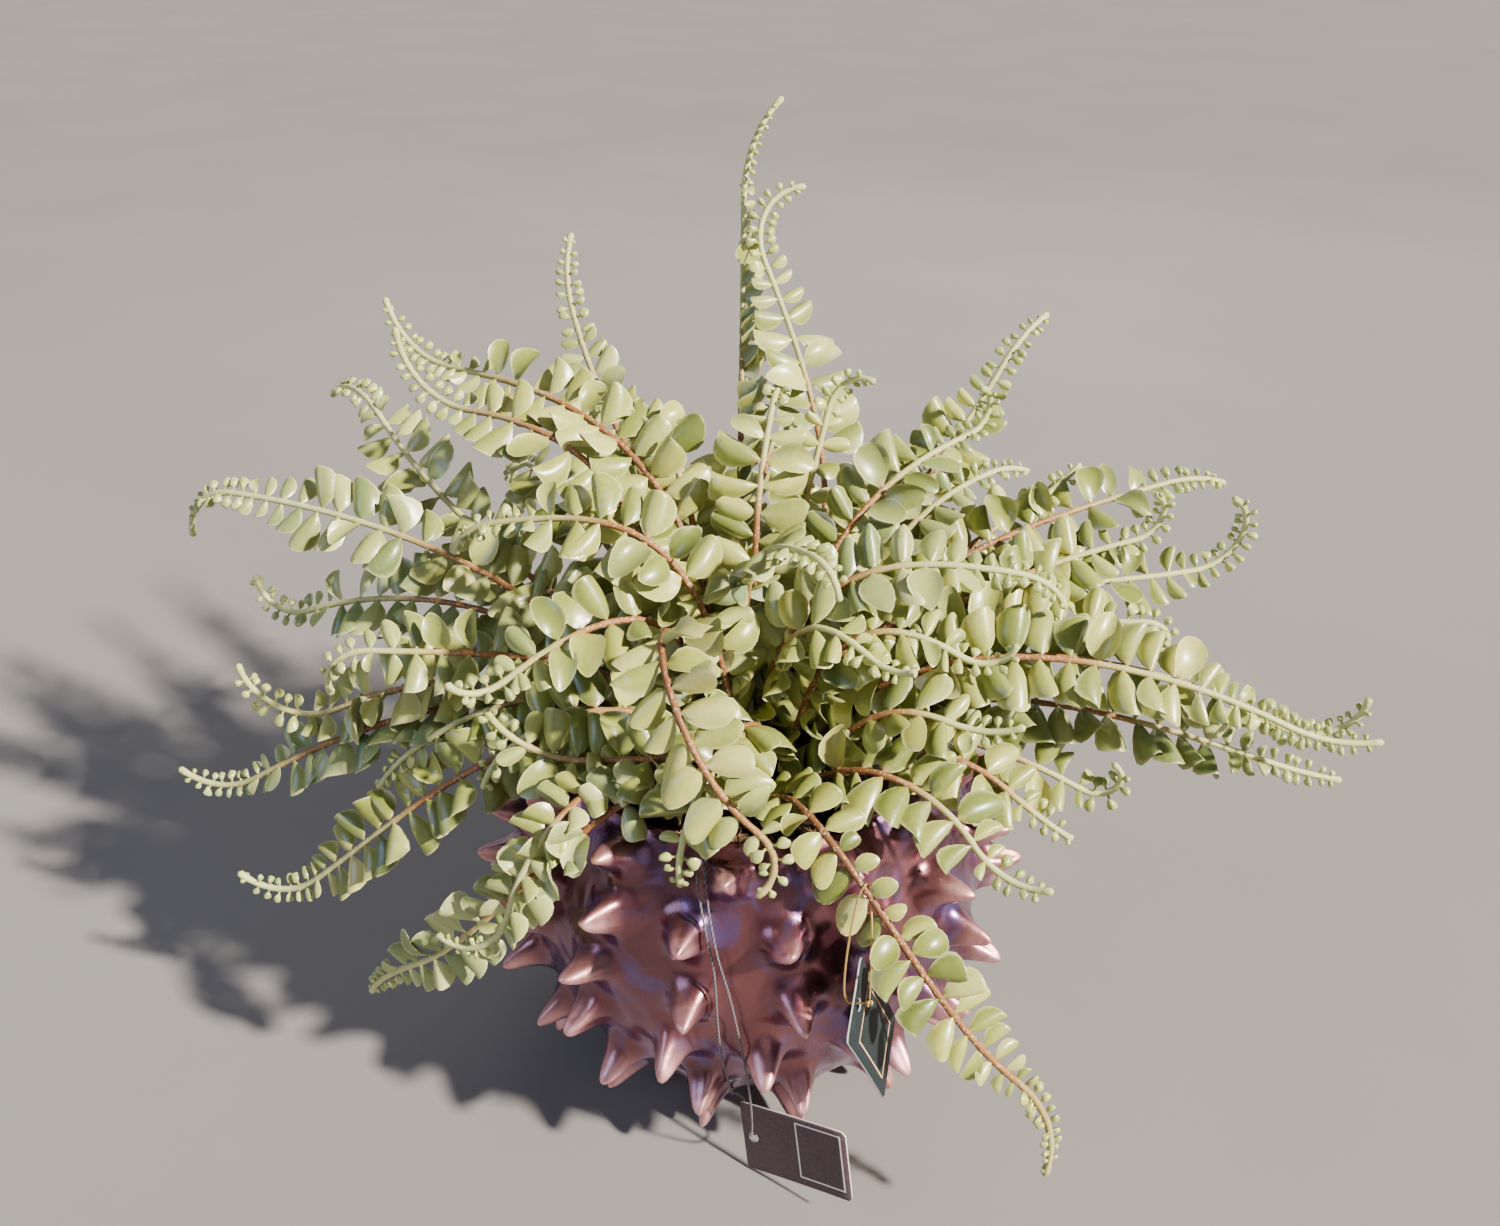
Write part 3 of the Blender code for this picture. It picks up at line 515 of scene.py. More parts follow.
def spikeHeight(ways):
    # rise over the body in each direction: the sum over spikes of length * profile(arc to its
    # axis), the arc being stretched by 1 + facet exp(-(arc/reach)^2) cos(ridges * turn + phase)
    flat = ways.reshape(-1, 3)
    arc = np.arccos(np.clip(flat @ siteWays.T, -1, 1)) * pot["radius"] / mm
    turn = np.arctan2(flat @ siteUps.T, flat @ siteSides.T)
    facet = (siteFacets * np.exp(-(arc / pot["facetReach"]) ** 2)
             * np.cos(siteRidges * turn + sitePhases))
    share = np.interp(arc * (1 + facet), fineStep, profileLine)
    rise = (share * siteLengths).sum(axis=1)
    return rise.reshape(ways.shape[:-1]), share.max(axis=1).reshape(ways.shape[:-1]), arc


def potSkin():
    # the egg in directions (latitude, azimuth), its grid drawn in towards each spike's axis
    # (arc -> gather * (arc / gather)^power), raised by spikeHeight and a few crossed waves, with
    # each spike leaning by lean * share^2; then level rings for the foot, the lip and the inside
    lowest = np.arcsin((pot["lowest"] - pot["middle"]) / pot["halfHeight"])
    highest = np.arcsin((pot["rim"] - pot["belowRim"] - pot["middle"]) / pot["halfHeight"])
    latitude = np.linspace(lowest, highest, pot["rows"])[:, None]
    azimuth = circle(pot["columns"])[None]
    ways = np.stack(np.broadcast_arrays(np.cos(latitude) * np.cos(azimuth),
                                        np.cos(latitude) * np.sin(azimuth), np.sin(latitude)), -1)

    def within(degrees):
        # 0 at the lowest and highest rings, 1 some degrees away from them
        return (smoothStep(0, radians(degrees), highest - latitude)
                * smoothStep(0, radians(degrees), latitude - lowest))

    arc = spikeHeight(ways)[2]
    target = siteWays[arc.argmin(axis=1)].reshape(ways.shape)
    closest = (arc.min(axis=1) * mm).reshape(ways.shape[:2])
    pulled = pot["gather"] * (closest / pot["gather"]) ** pot["gatherPower"]
    pull = np.where(closest < pot["gather"], 1 - pulled / np.maximum(closest, 1e-9), 0) * within(4)
    ways = unit(ways + pull[..., None] * (target - ways))
    rise, share, arc = spikeHeight(ways)
    fade = within(3)
    x, y, z = np.moveaxis(ways, -1, 0)
    uneven = (np.sin(9 * x + 4 * y + 1) * np.sin(8 * z - 5 * x) + 0.6 * np.sin(17 * y + 11 * z)
              * np.cos(15 * x - 6 * z) + 0.35 * np.sin(31 * x + 23 * z) * np.sin(29 * y - 19 * z))
    rise = (rise + pot["uneven"] * uneven) * fade
    lean = np.cross(siteWays, unit(potChance.normal(size=siteWays.shape)))
    lean = lean * potChance.uniform(*pot["lean"], (len(lean), 1))
    lean = lean[arc.argmin(axis=1)].reshape(ways.shape)
    size = np.array((pot["radius"], pot["radius"], pot["halfHeight"]))
    outer = ways * size + (0, 0, pot["middle"]) + rise[..., None] * (ways + lean * share[..., None] ** 2)

    def level(radius, height):
        return levelRing(radius, height, pot["columns"])

    lip = bodyRadius(pot["rim"])
    under = [level(far * mm, height * mm) for far, height in pot["under"]]
    over = [level(lip - far * mm, pot["rim"] + height * mm) for far, height in pot["over"]]
    inside = [level(bodyRadius(z * mm) - pot["wall"], z * mm) for z in pot["inside"]]
    inside += [level(0.5 * pot["foot"], pot["floor"])]
    grid = np.concatenate((under, outer, over, inside))
    spikeMark = np.zeros(grid.shape[:2])
    spikeMark[len(under):len(under) + len(outer)] = share * fade
    inner = np.zeros(grid.shape[:2])
    inner[-len(inside):] = 1
    return shells(grid[None], np.array([[0, 0, pot["hollow"]]]), np.array([[0, 0, pot["floor"]]]),
                  dict(spike=spikeMark[None], inner=inner[None]))


def paintPot(w):
    # plum metal lustre that turns copper pink on the spikes, with violet patches that are painted reflection
    # of a bluish sky
    spike = w.mark("spike")
    cloud = w.noise(14, 3, roughness=0.55)
    patch = w.noise(38, 3, roughness=0.6, distortion=0.6)
    streak = w.noise(160, 4, (1, 1, 0.25), roughness=0.6)
    body = cloud.ramp((0.34, (0.1, 0.03, 0.036)), (0.5, (0.18, 0.056, 0.062)),
                      (0.68, (0.31, 0.104, 0.1)))
    # violet patches on the body: painted reflection of a bluish sky
    body = (patch.between(0.52, 0.7) * 0.6).mix(body, (0.13, 0.105, 0.32))
    copper = streak.ramp((0.3, (0.66, 0.27, 0.245)), (0.7, (0.98, 0.56, 0.51)))
    colour = (spike.between(0.1, 0.85) * (0.66 + cloud * 0.5)).mix(body, copper)
    gold = spike.between(0.93, 1.0) * patch.between(0.45, 0.62)
    colour = (gold * 0.7).mix(colour, (0.85, 0.6, 0.3))
    inside = w.mark("inner").between(0.2, 0.8)
    colour = inside.mix(colour, (0.05, 0.035, 0.035))
    height = streak * 0.35 + w.noise(420, 3) * 0.25 + w.noise(55, 2) * 0.9
    rough = 0.2 + streak * 0.14 + spike.between(0.15, 0.7) * 0.2 + inside * 0.3
    return {"Base Color": colour, "Roughness": rough, "Normal": w.bump(height, 0.35, 0.0012)}


lustre = makeMaterial("pot_lustre", paintPot, Metallic=0.84, Specular_Tint=(0.62, 0.55, 1.0, 1.0),
                      Coat_Weight=0.9, Coat_Roughness=0.22, Coat_Tint=(0.96, 0.92, 1.0, 1.0))
potPiece = makePiece("pot_with_spikes", [potSkin()], [lustre], ["pot"])
print("pot: %d spikes, %d faces" % (len(siteWays), len(potPiece.data.polygons)))


# soil: a crumbly top with fibres and bits lying on it

soil = dict(height=182 * mm, crest=1.6 * mm, gap=0.35 * mm, rings=34, columns=150, foot=0.8 * mm,
            sides=(22.4, 60, 110, 150, 179))
fibre = dict(count=620, far=0.86, reach=(2.2, 6.5), lift=(-0.15, 0.35), bend=(-0.5, 0.5),
             thick=(0.22, 0.55), over=0.7 * mm, tone=(0.15, 1), points=6, around=4)
crumb = dict(count=420, far=0.91, size=(0.7, 2.4), uneven=(0.75, 1.2), over=0.3 * mm,
             tone=(0.05, 0.8), rings=4, around=6, flat=0.7)
soilChance = np.random.default_rng(21)


def soilLevel(x, y):
    # height of the soil's top: three crossed waves and a finer one, in metres
    return soil["height"] + mm * (0.9 * np.sin(61 * x + 1) * np.cos(57 * y) + 0.5 * np.sin(131 * x - 90 * y)
                                  + 0.35 * np.sin(340 * x + 2) * np.sin(310 * y + 1) - 0.9)


def innerWall(height):
    # half width inside the pot, less the soil's gap
    return bodyRadius(height) - pot["wall"] - soil["gap"]


soilEdge = innerWall(soil["height"] + soil["crest"])


def groundSkin():
    # rings up the inside of the pot, then rings of soilLevel from the edge to the middle
    def level(radius, height):
        return levelRing(radius, height, soil["columns"])

    foot = pot["floor"] + soil["foot"]
    sides = [level(0.5 * pot["foot"], foot)] + [level(innerWall(z * mm), z * mm) for z in soil["sides"]]
    top = np.array([level(soilEdge * share, 0) for share in np.linspace(1, 0.02, soil["rings"])])
    top[..., 2] = soilLevel(top[..., 0], top[..., 1])
    return shells(np.concatenate((sides, top))[None], np.array([[0, 0, foot]]),
                  np.array([[0, 0, soilLevel(0.0, 0.0)]]), dict(bits=np.zeros((1, 1, 1))))


def scatter(plan):
    # spots spread evenly over the soil, a little above it: distance = edge sqrt(random)
    far = soilEdge * np.sqrt(soilChance.uniform(0, plan["far"], plan["count"]))
    spin = soilChance.uniform(0, 2 * pi, plan["count"])
    x, y = far * np.cos(spin), far * np.sin(spin)
    return np.stack((x, y, soilLevel(x, y) + plan["over"]), -1)


def fibreSkin(plan):
    # thin bent threads: P(s) = middle + s reach way + bend s^2 aside, s from -1 to 1
    count, draw = plan["count"], soilChance.uniform
    middle = scatter(plan)
    heading = draw(0, 2 * pi, count)
    reach = draw(*plan["reach"], count)[:, None] * mm
    way = np.stack((np.cos(heading), np.sin(heading), draw(*plan["lift"], count)), -1)
    aside = np.stack((-np.sin(heading), np.cos(heading), np.zeros(count)), -1)
    bend = draw(*plan["bend"], count)[:, None]
    s = np.linspace(-1, 1, plan["points"])[None, :, None]
    line = middle[:, None] + s * (way * reach)[:, None] + s ** 2 * (aside * (reach * bend))[:, None]
    thick = (draw(*plan["thick"], count) * mm)[:, None, None, None] * (1 - 0.6 * s ** 2)[..., None]
    angle = circle(plan["around"])[None, None, :, None]
    grid = line[:, :, None] + thick * (np.cos(angle) * aside[:, None, None]
                                       + np.sin(angle) * np.array((0, 0, 1)))
    return shells(grid, line[:, 0], line[:, -1], dict(bits=draw(*plan["tone"], (count, 1, 1))))


def crumbSkin(plan):
    # small uneven balls, flatter than they are wide: size (cos lift cos turn, cos lift sin turn,
    # flat sin lift)
    count, rings, around = plan["count"], plan["rings"], plan["around"]
    middle = scatter(plan)
    lift = np.linspace(-1.1, 1.1, rings)[None, :, None]
    turn = circle(around)[None, None]
    size = (soilChance.uniform(*plan["size"], count) * mm)[:, None, None]
    size = size * soilChance.uniform(*plan["uneven"], (count, rings, around))
    grid = np.stack((size * np.cos(lift) * np.cos(turn), size * np.cos(lift) * np.sin(turn),
                     plan["flat"] * size * np.sin(lift)), -1)
    poles = 0.62 * size.mean(axis=(1, 2))[:, None] * np.array((0, 0, 1))
    return shells(grid + middle[:, None, None], middle - poles, middle + poles,
                  dict(bits=soilChance.uniform(*plan["tone"], (count, 1, 1))))


def paintSoil(w):
    bits = w.mark("bits")
    grit = w.noise(480, 4, roughness=0.65)
    patch = w.noise(70, 3)
    ground = grit.ramp((0.32, (0.012, 0.007, 0.004)), (0.5, (0.055, 0.03, 0.014)),
                       (0.72, (0.17, 0.095, 0.04)))
    straw = bits.ramp((0.05, (0.05, 0.026, 0.012)), (0.4, (0.16, 0.085, 0.032)),
                      (0.75, (0.34, 0.2, 0.085)), (1.0, (0.5, 0.34, 0.16)))
    colour = bits.between(0.01, 0.04).mix(ground, straw)
    colour = (patch.between(0.5, 0.75) * 0.4).mix(colour, (0.09, 0.05, 0.022))
    return {"Base Color": colour, "Roughness": 0.78 + grit * 0.2,
            "Normal": w.bump(grit + patch * 0.5, 0.8, 0.0015)}


peat = makeMaterial("soil_fibrous", paintSoil)
makePiece("potting_soil", [groundSkin(), fibreSkin(fibre), crumbSkin(crumb)], [peat], ["soil"])
print("soil: %d fibres, %d crumbs" % (fibre["count"], crumb["count"]))


# fronds: a rib and pairs of shell-like leaflets

# a row for each frond: its name; root, as distance from the middle and azimuth; tip, as azimuth,
# reach and height; rise, as angle at the root and how far it holds; dip at the tip; bow to the
# side; hook, as turn, way and length of its curled end; what sets it apart from habitRanges
fronds = (
    ("front_centre", (12, 235), (271, 110, 224), (88, 1.5), -72, -46, (105, 270, 34),
     dict(late=1.7, peak=0.48, cup=1.1, size=1.0, lay=8, cool=0, tone=0.72, green=0.72)),
    ("back_tall", (12, 120), (91, 195, 402), (86, 0.4), 62, 0, (45, 270, 62),
     dict(roll=75, size=0.72, lay=62, twist=0)),
    ("back_hook", (12, 50), (87, 165, 378), (84, 0.4), 58, -40, (110, 270, 55)),
    ("back_left", (30, 112), (120, 190, 346), (84, 0.45), 52, 4, (30, 300, 50)),
    ("right_tall", (30, 44), (43, 177, 334), (80, 0.4), 46, 0, (35, 180, 45)),
    ("centre_up", (30, 72), (64, 88, 330), (84, 0.4), 62, 0, (110, 270, 32), dict(roll=40)),
    ("left_rear_a", (12, 160), (141, 200, 335), (86, 0.62), -4, -8, (80, 0, 60)),
    ("left_rear_b", (30, 168), (150, 158, 330), (84, 0.6), -4, -6, (95, 0, 64)),
    ("left_rear_c", (30, 146), (148, 232, 308), (66, 0.35), 28, 32, (70, 180, 62), dict(green=1.3)),
    ("left_long", (50, 160), (163, 275, 284), (64, 0.36), -2, 8, (85, 180, 55), dict(green=1.35)),
    ("left_low", (50, 177), (162, 252, 215), (66, 0.4), -26, 0, (120, 0, 42)),
    ("left_up", (50, 194), (176, 208, 196), (66, 0.42), -28, 0, (115, 0, 66)),
    ("left_wave", (30, 190), (184, 175, 248), (74, 0.42), 4, 0, (110, 180, 40)),
    ("left_tip", (50, 210), (176, 262, 148), (62, 0.38), -34, 0, (75, 0, 48)),
    ("front_left_long", (50, 226), (187, 224, 118), (64, 0.5), -42, 10, (95, 0, 46)),
    ("front_left_mid", (30, 216), (187, 158, 200), (72, 0.5), -38, 0, (20, 180, 38)),
    ("front_left_short", (30, 240), (202, 118, 216), (74, 0.55), -40, 0, (35, 180, 26)),
    ("front_low_left", (50, 256), (206, 178, 112), (66, 0.6), -42, 34, (25, 180, 52),
     dict(size=0.82, late=1.4, green=1.1)),
    ("front_low_hook", (50, 241), (224, 146, 172), (66, 0.75), -72, 0, (105, 300, 52),
     dict(size=0.7, late=1.25, green=1.3)),
    ("front_cross", (30, 282), (222, 92, 222), (74, 0.5), -20, 30, (95, 0, 60), dict(late=1.7)),
    ("front_right_long", (50, 276), (309, 182, 110), (66, 0.62), -52, -30, (60, 225, 62),
     dict(roll=-22, size=0.86, peak=0.62, cup=0.8, twist=0, folded=0.1, cool=0, green=0.78)),
    ("front_right_a", (50, 290), (315, 134, 204), (68, 0.55), -50, 0, (80, 0, 42)),
    ("front_right_b", (50, 318), (332, 130, 206), (66, 0.45), -38, 0, (12, 0, 38)),
    ("front_right_hook", (50, 334), (345, 160, 190), (66, 0.45), -28, 0, (180, 0, 34)),
    ("right_low", (50, 351), (356, 250, 188), (64, 0.35), -20, 0, (10, 0, 42), dict(lay=48)),
    ("right_long", (30, 342), (354, 248, 216), (68, 0.42), -30, 0, (120, 0, 52)),
    ("right_mid", (30, 318), (350, 246, 228), (70, 0.45), -26, 0, (40, 0, 46)),
    ("right_centre", (30, 5), (2, 188, 252), (70, 0.4), -2, 0, (150, 180, 30)),
    ("right_curl", (12, 325), (14, 232, 252), (72, 0.45), 0, 0, (155, 0, 60)),
    ("right_curl_b", (50, 8), (16, 200, 270), (70, 0.4), 4, 0, (150, 0, 36)),
    ("right_rear", (30, 24), (23, 232, 284), (72, 0.4), 4, 0, (30, 180, 45)),
    ("rear_right_a", (50, 25), (28, 160, 278), (76, 0.4), 18, 0, (20, 0, 38)),
    ("rear_right_b", (50, 42), (34, 142, 294), (78, 0.4), 10, 0, (40, 180, 32)),
    ("rear_right_c", (12, 8), (38, 140, 314), (82, 0.55), 2, 0, (165, 0, 36)),
    ("crown_back", (30, 128), (128, 110, 330), (86, 0.6), -12, 0, (60, 180, 30)),
    ("crown_front_left", (12, 200), (208, 118, 262), (84, 0.8), -28, 0, (90, 0, 30)),
    ("crown_right", (30, 306), (338, 100, 262), (84, 0.8), -30, 0, (110, 0, 30)),
    ("crown_right_up", (12, 270), (352, 120, 292), (84, 0.7), -10, 0, (60, 180, 30)),
    ("crown_left", (30, 262), (172, 120, 300), (84, 0.8), -14, -10, (60, 180, 30)),
    ("crown_top", (12, 85), (80, 62, 340), (84, 0.5), 30, 0, (100, 180, 26)),
    ("crown_centre", (5, 225), (300, 50, 316), (88, 0.6), 8, 0, (90, 180, 26)),
    ("crown_front", (12, 298), (318, 68, 268), (86, 0.7), -25, 0, (60, 0, 26)),
    ("front_short", (30, 294), (254, 104, 208), (84, 0.9), -66, 0, (40, 180, 22), dict(late=1.4)),
    ("front_fan", (50, 304), (326, 104, 241), (78, 0.5), -16, 0, (50, 0, 34)),
    ("rear_low_a", (50, 60), (60, 185, 238), (72, 0.45), -15, 0, (80, 0, 45)),
    ("rear_low_b", (50, 96), (86, 195, 262), (76, 0.45), -5, 0, (70, 180, 45)),
    ("rear_low_c", (50, 113), (106, 195, 235), (72, 0.45), -18, 0, (90, 0, 45)),
    ("rear_low_d", (50, 144), (128, 205, 262), (72, 0.42), -4, 0, (70, 180, 45)),
    ("rear_drop_a", (50, 78), (76, 152, 150), (76, 0.7), -72, 0, (60, 0, 45)),
    ("rear_drop_b", (50, 129), (118, 152, 145), (76, 0.7), -72, 0, (50, 0, 45)),
    ("rear_fill", (30, 92), (100, 132, 262), (80, 0.5), -12, 0, (60, 180, 36)),
    ("rear_drop_c", (68, 150), (150, 165, 152), (62, 0.6), -62, 0, (50, 0, 40)),
    ("rear_drop_d", (68, 48), (44, 165, 156), (62, 0.6), -62, 0, (50, 0, 40)),
)

rib = dict(stem=10 * mm, arch=90, hook=30, rollFrom=0.1, rollTo=0.3, toFront=35,
           start=2 * mm, step=3 * mm, around=8, thick=1.65 * mm, thin=1.4 * mm,
           node=0.2, nodeReach=2.2, knob=1.3, cordReach=4 * mm, cordGap=0.1 * mm)
leaf = dict(length=22.6 * mm, first=0.11, last=0.985, step=0.4, least=3.0 * mm, width=0.76,
            thick=0.28 * mm, bead=0.25, stalk=0.68 * mm, neck=0.08, beadNeck=0.38,
            tail=((0, 0.05, 0.16, 0.21, 0.31), (0.17, 0.27, 0.4, 0.53, 1)),
            rings=(0.07, 0.2, 0.38, 0.58, 0.76, 0.89, 0.97), around=8,
            # what differs from leaflet to leaflet: the ends of a range, or a spread about a middle
            places=(-0.06, 0.06), sizes=(0.86, 1.08), widths=(0.88, 1.12), cups=(0.55, 1.15),
            cupsUp=0.2, folds=(0.3, 0.8), droops=(0.06, 0.4), tilts=9, sweep=8, sweeps=8, twists=13,
            bends=0.05, curls=0.38, peaks=0.05, tapers=0.05, points=0.1, tones=0.2, cools=0.12,
            # the room kept free beside the pot, above the soil and round the gold cord
            overPot=1.4 * mm, inPot=1 * mm, overSoil=0.4 * mm, overCord=0.3 * mm, cordReach=45 * mm)
# the ends between which each frond's own habit is drawn
habitRanges = dict(size=(0.94, 1.06), twist=(-14, 14), cup=(0.8, 1.2), folded=(0.05, 0.4),
                   peak=(0.43, 0.6), tone=(0.34, 0.66), cool=(0, 1), late=(0.9, 1.25),
                   green=(0.86, 1.2), point=(0.46, 0.72))
# what the CAD solids were made with, to find how each of their leaflets lies: tries holds the
# tilts in degrees and the scales that they may have
solidLeaf = dict(first=0.25, last=0.93, length=24 * mm, pitch=1.64, root=0.17, half=0.375 * mm, cup=0.1,
                 tries=((22, 1.0), (42, 1.0), (2, 1.0), (60, 1.0), (-20, 1.0), (22, 0.75), (50, 0.75),
                        (-10, 0.75), (22, 0.55), (60, 0.55), (-15, 0.55)))
leafChance = np.random.default_rng(5)


def ribLine(root, tip, rise, dip, bow, hook, roll):
    # arch: (1-t)^3 root + 3(1-t)^2 t first + 3(1-t) t^2 second + t^3 tip, with first and second
    # set by rise, dip and bow; then a hook whose angle grows as turn * share^1.3
    root = polar(root[0] * mm, root[1], soil["height"])
    azimuth, reach, height = tip
    tip = polar(reach * mm, azimuth, height * mm)
    span = np.linalg.norm(tip - root)
    up = np.array((0.0, 0.0, 1.0))
    ahead = unit((tip - root) * (1, 1, 0))
    side = np.cross(up, ahead)
    lift, hold, dip = radians(rise[0]), rise[1], radians(dip)
    bow = bow * mm * side
    first = root + hold * span * (cos(lift) * ahead + sin(lift) * up) + bow
    second = tip - 0.4 * span * (cos(dip) * ahead + sin(dip) * up) + bow
    t = np.linspace(0, 1, rib["arch"])[:, None]
    arch = (1 - t) ** 3 * root + 3 * (1 - t) ** 2 * t * first + 3 * (1 - t) * t ** 2 * second + t ** 3 * tip
    turn, way, length = hook
    ahead = unit(tip - second)
    across = unit(side - side.dot(ahead) * ahead)
    bend = cos(radians(way)) * np.cross(ahead, across) + sin(radians(way)) * across
    angle = radians(turn) * ((np.arange(rib["hook"])[:, None] + 0.5) / rib["hook"]) ** 1.3
    curl = tip + np.cumsum((np.cos(angle) * ahead + np.sin(angle) * bend) * length * mm / rib["hook"], axis=0)
    line = np.vstack((root - (0, 0, rib["stem"]), arch, curl))
    lengths = np.append(0, np.linalg.norm(np.diff(line, axis=0), axis=1).cumsum())
    return dict(line=line, lengths=lengths, total=lengths[-1], axes=carry(line, side),
                roll=radians(roll + rib["toFront"] * cos(radians(azimuth))))


def ribAt(path, length):
    # place and axes at some lengths from the foot; the side turns by the frond's roll between
    # the shares rollFrom and rollTo of its length
    def read(values):
        return np.column_stack([np.interp(length, path["lengths"], values[:, k]) for k in range(3)])
    ahead = unit(read(path["axes"][0]))
    side = read(path["axes"][1])
    side = unit(side - (side * ahead).sum(1, keepdims=True) * ahead)
    share = np.clip((length / path["total"] - rib["rollFrom"]) / (rib["rollTo"] - rib["rollFrom"]), 0, 1)
    roll = (path["roll"] * share)[:, None]
    side = turned(roll, side, np.cross(ahead, side))[0]
    return read(path["line"]), ahead, side, np.cross(ahead, side)


def solidLeaves(path, node):
    # where the CAD frond has leaflets, and the tilt and scale of each: of the tries, the one
    # whose outer corner is a corner of the solid
    def size(share):
        return solidLeaf["length"] * min(1, 0.8 + 0.8 * (share - 0.25), 0.22 + 1.9 * (1 - share))
    starts, length = [], solidLeaf["first"] * path["total"]
    while length < solidLeaf["last"] * path["total"]:
        here = size(length / path["total"])
        starts.append((length + solidLeaf["root"] * here, here))
        length += solidLeaf["pitch"] * here
    spots, sizes = np.array(starts).T
    place, ahead, side, up = (a[:, None, None] for a in ribAt(path, spots))
    hand = np.array((1, -1))[None, :, None, None]
    tilt, scale = (np.array(v)[None, None, :, None] for v in zip(*solidLeaf["tries"]))
    out, face = turned(np.radians(tilt), hand * side, up)
    reach = sizes[:, None, None, None] * scale
    corner = (place + (0.04 * ahead + 1.02 * out) * reach
              + (solidLeaf["half"] - solidLeaf["cup"] * 1.02 ** 2 * reach) * face)
    solid = np.empty(3 * len(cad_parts[node].data.vertices))
    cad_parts[node].data.vertices.foreach_get("co", solid)
    solid = np.unique(solid.reshape(-1, 3).round(6), axis=0)
    miss = np.linalg.norm(corner[..., None, :] - solid, axis=-1).min(axis=-1)
    best = miss.argmin(axis=-1)
    found = miss.min(axis=-1) < 0.1 * mm
    tilts, scales = np.array(solidLeaf["tries"]).T
    return spots, np.where(found, tilts[best], 35.0), np.where(found, scales[best], 0.0)


goldLine = smoothRoute(goldCord["route"], 160)[0]


def clearOf(points):
    # whether whole leaflets stay clear of the pot (rise over the egg against spikeHeight), the
    # soil (height against soilLevel) and the gold cord (distance from its line)
    x, y, z = np.moveaxis(points, -1, 0)
    around = np.stack((x / pot["radius"], y / pot["radius"], (z - pot["middle"]) / pot["halfHeight"]), -1)
    reach = np.linalg.norm(around, axis=-1)
    near = (reach < 1.25) & (z < pot["rim"] + np.where(reach > 1.05, 10, 1.2) * mm)
    bad = np.zeros(near.shape, bool)
    if near.any():
        beyond = (reach[near] - 1) * pot["radius"]
        bad[near] = ((beyond < spikeHeight(unit(around[near]))[0] + leaf["overPot"])
                     & (beyond > -pot["wall"] - leaf["inPot"]))
    bad |= (reach < 1) & (z < soilLevel(x, y) + leaf["overSoil"])
    close = np.linalg.norm(points - goldLine.mean(axis=0), axis=-1) < leaf["cordReach"]
    gap = np.linalg.norm(points[close][:, None] - goldLine, axis=-1).min(axis=-1, initial=1.0)
    bad[close] |= gap < goldCord["radius"] + leaf["overCord"]
    return ~bad.any(axis=(1, 2))


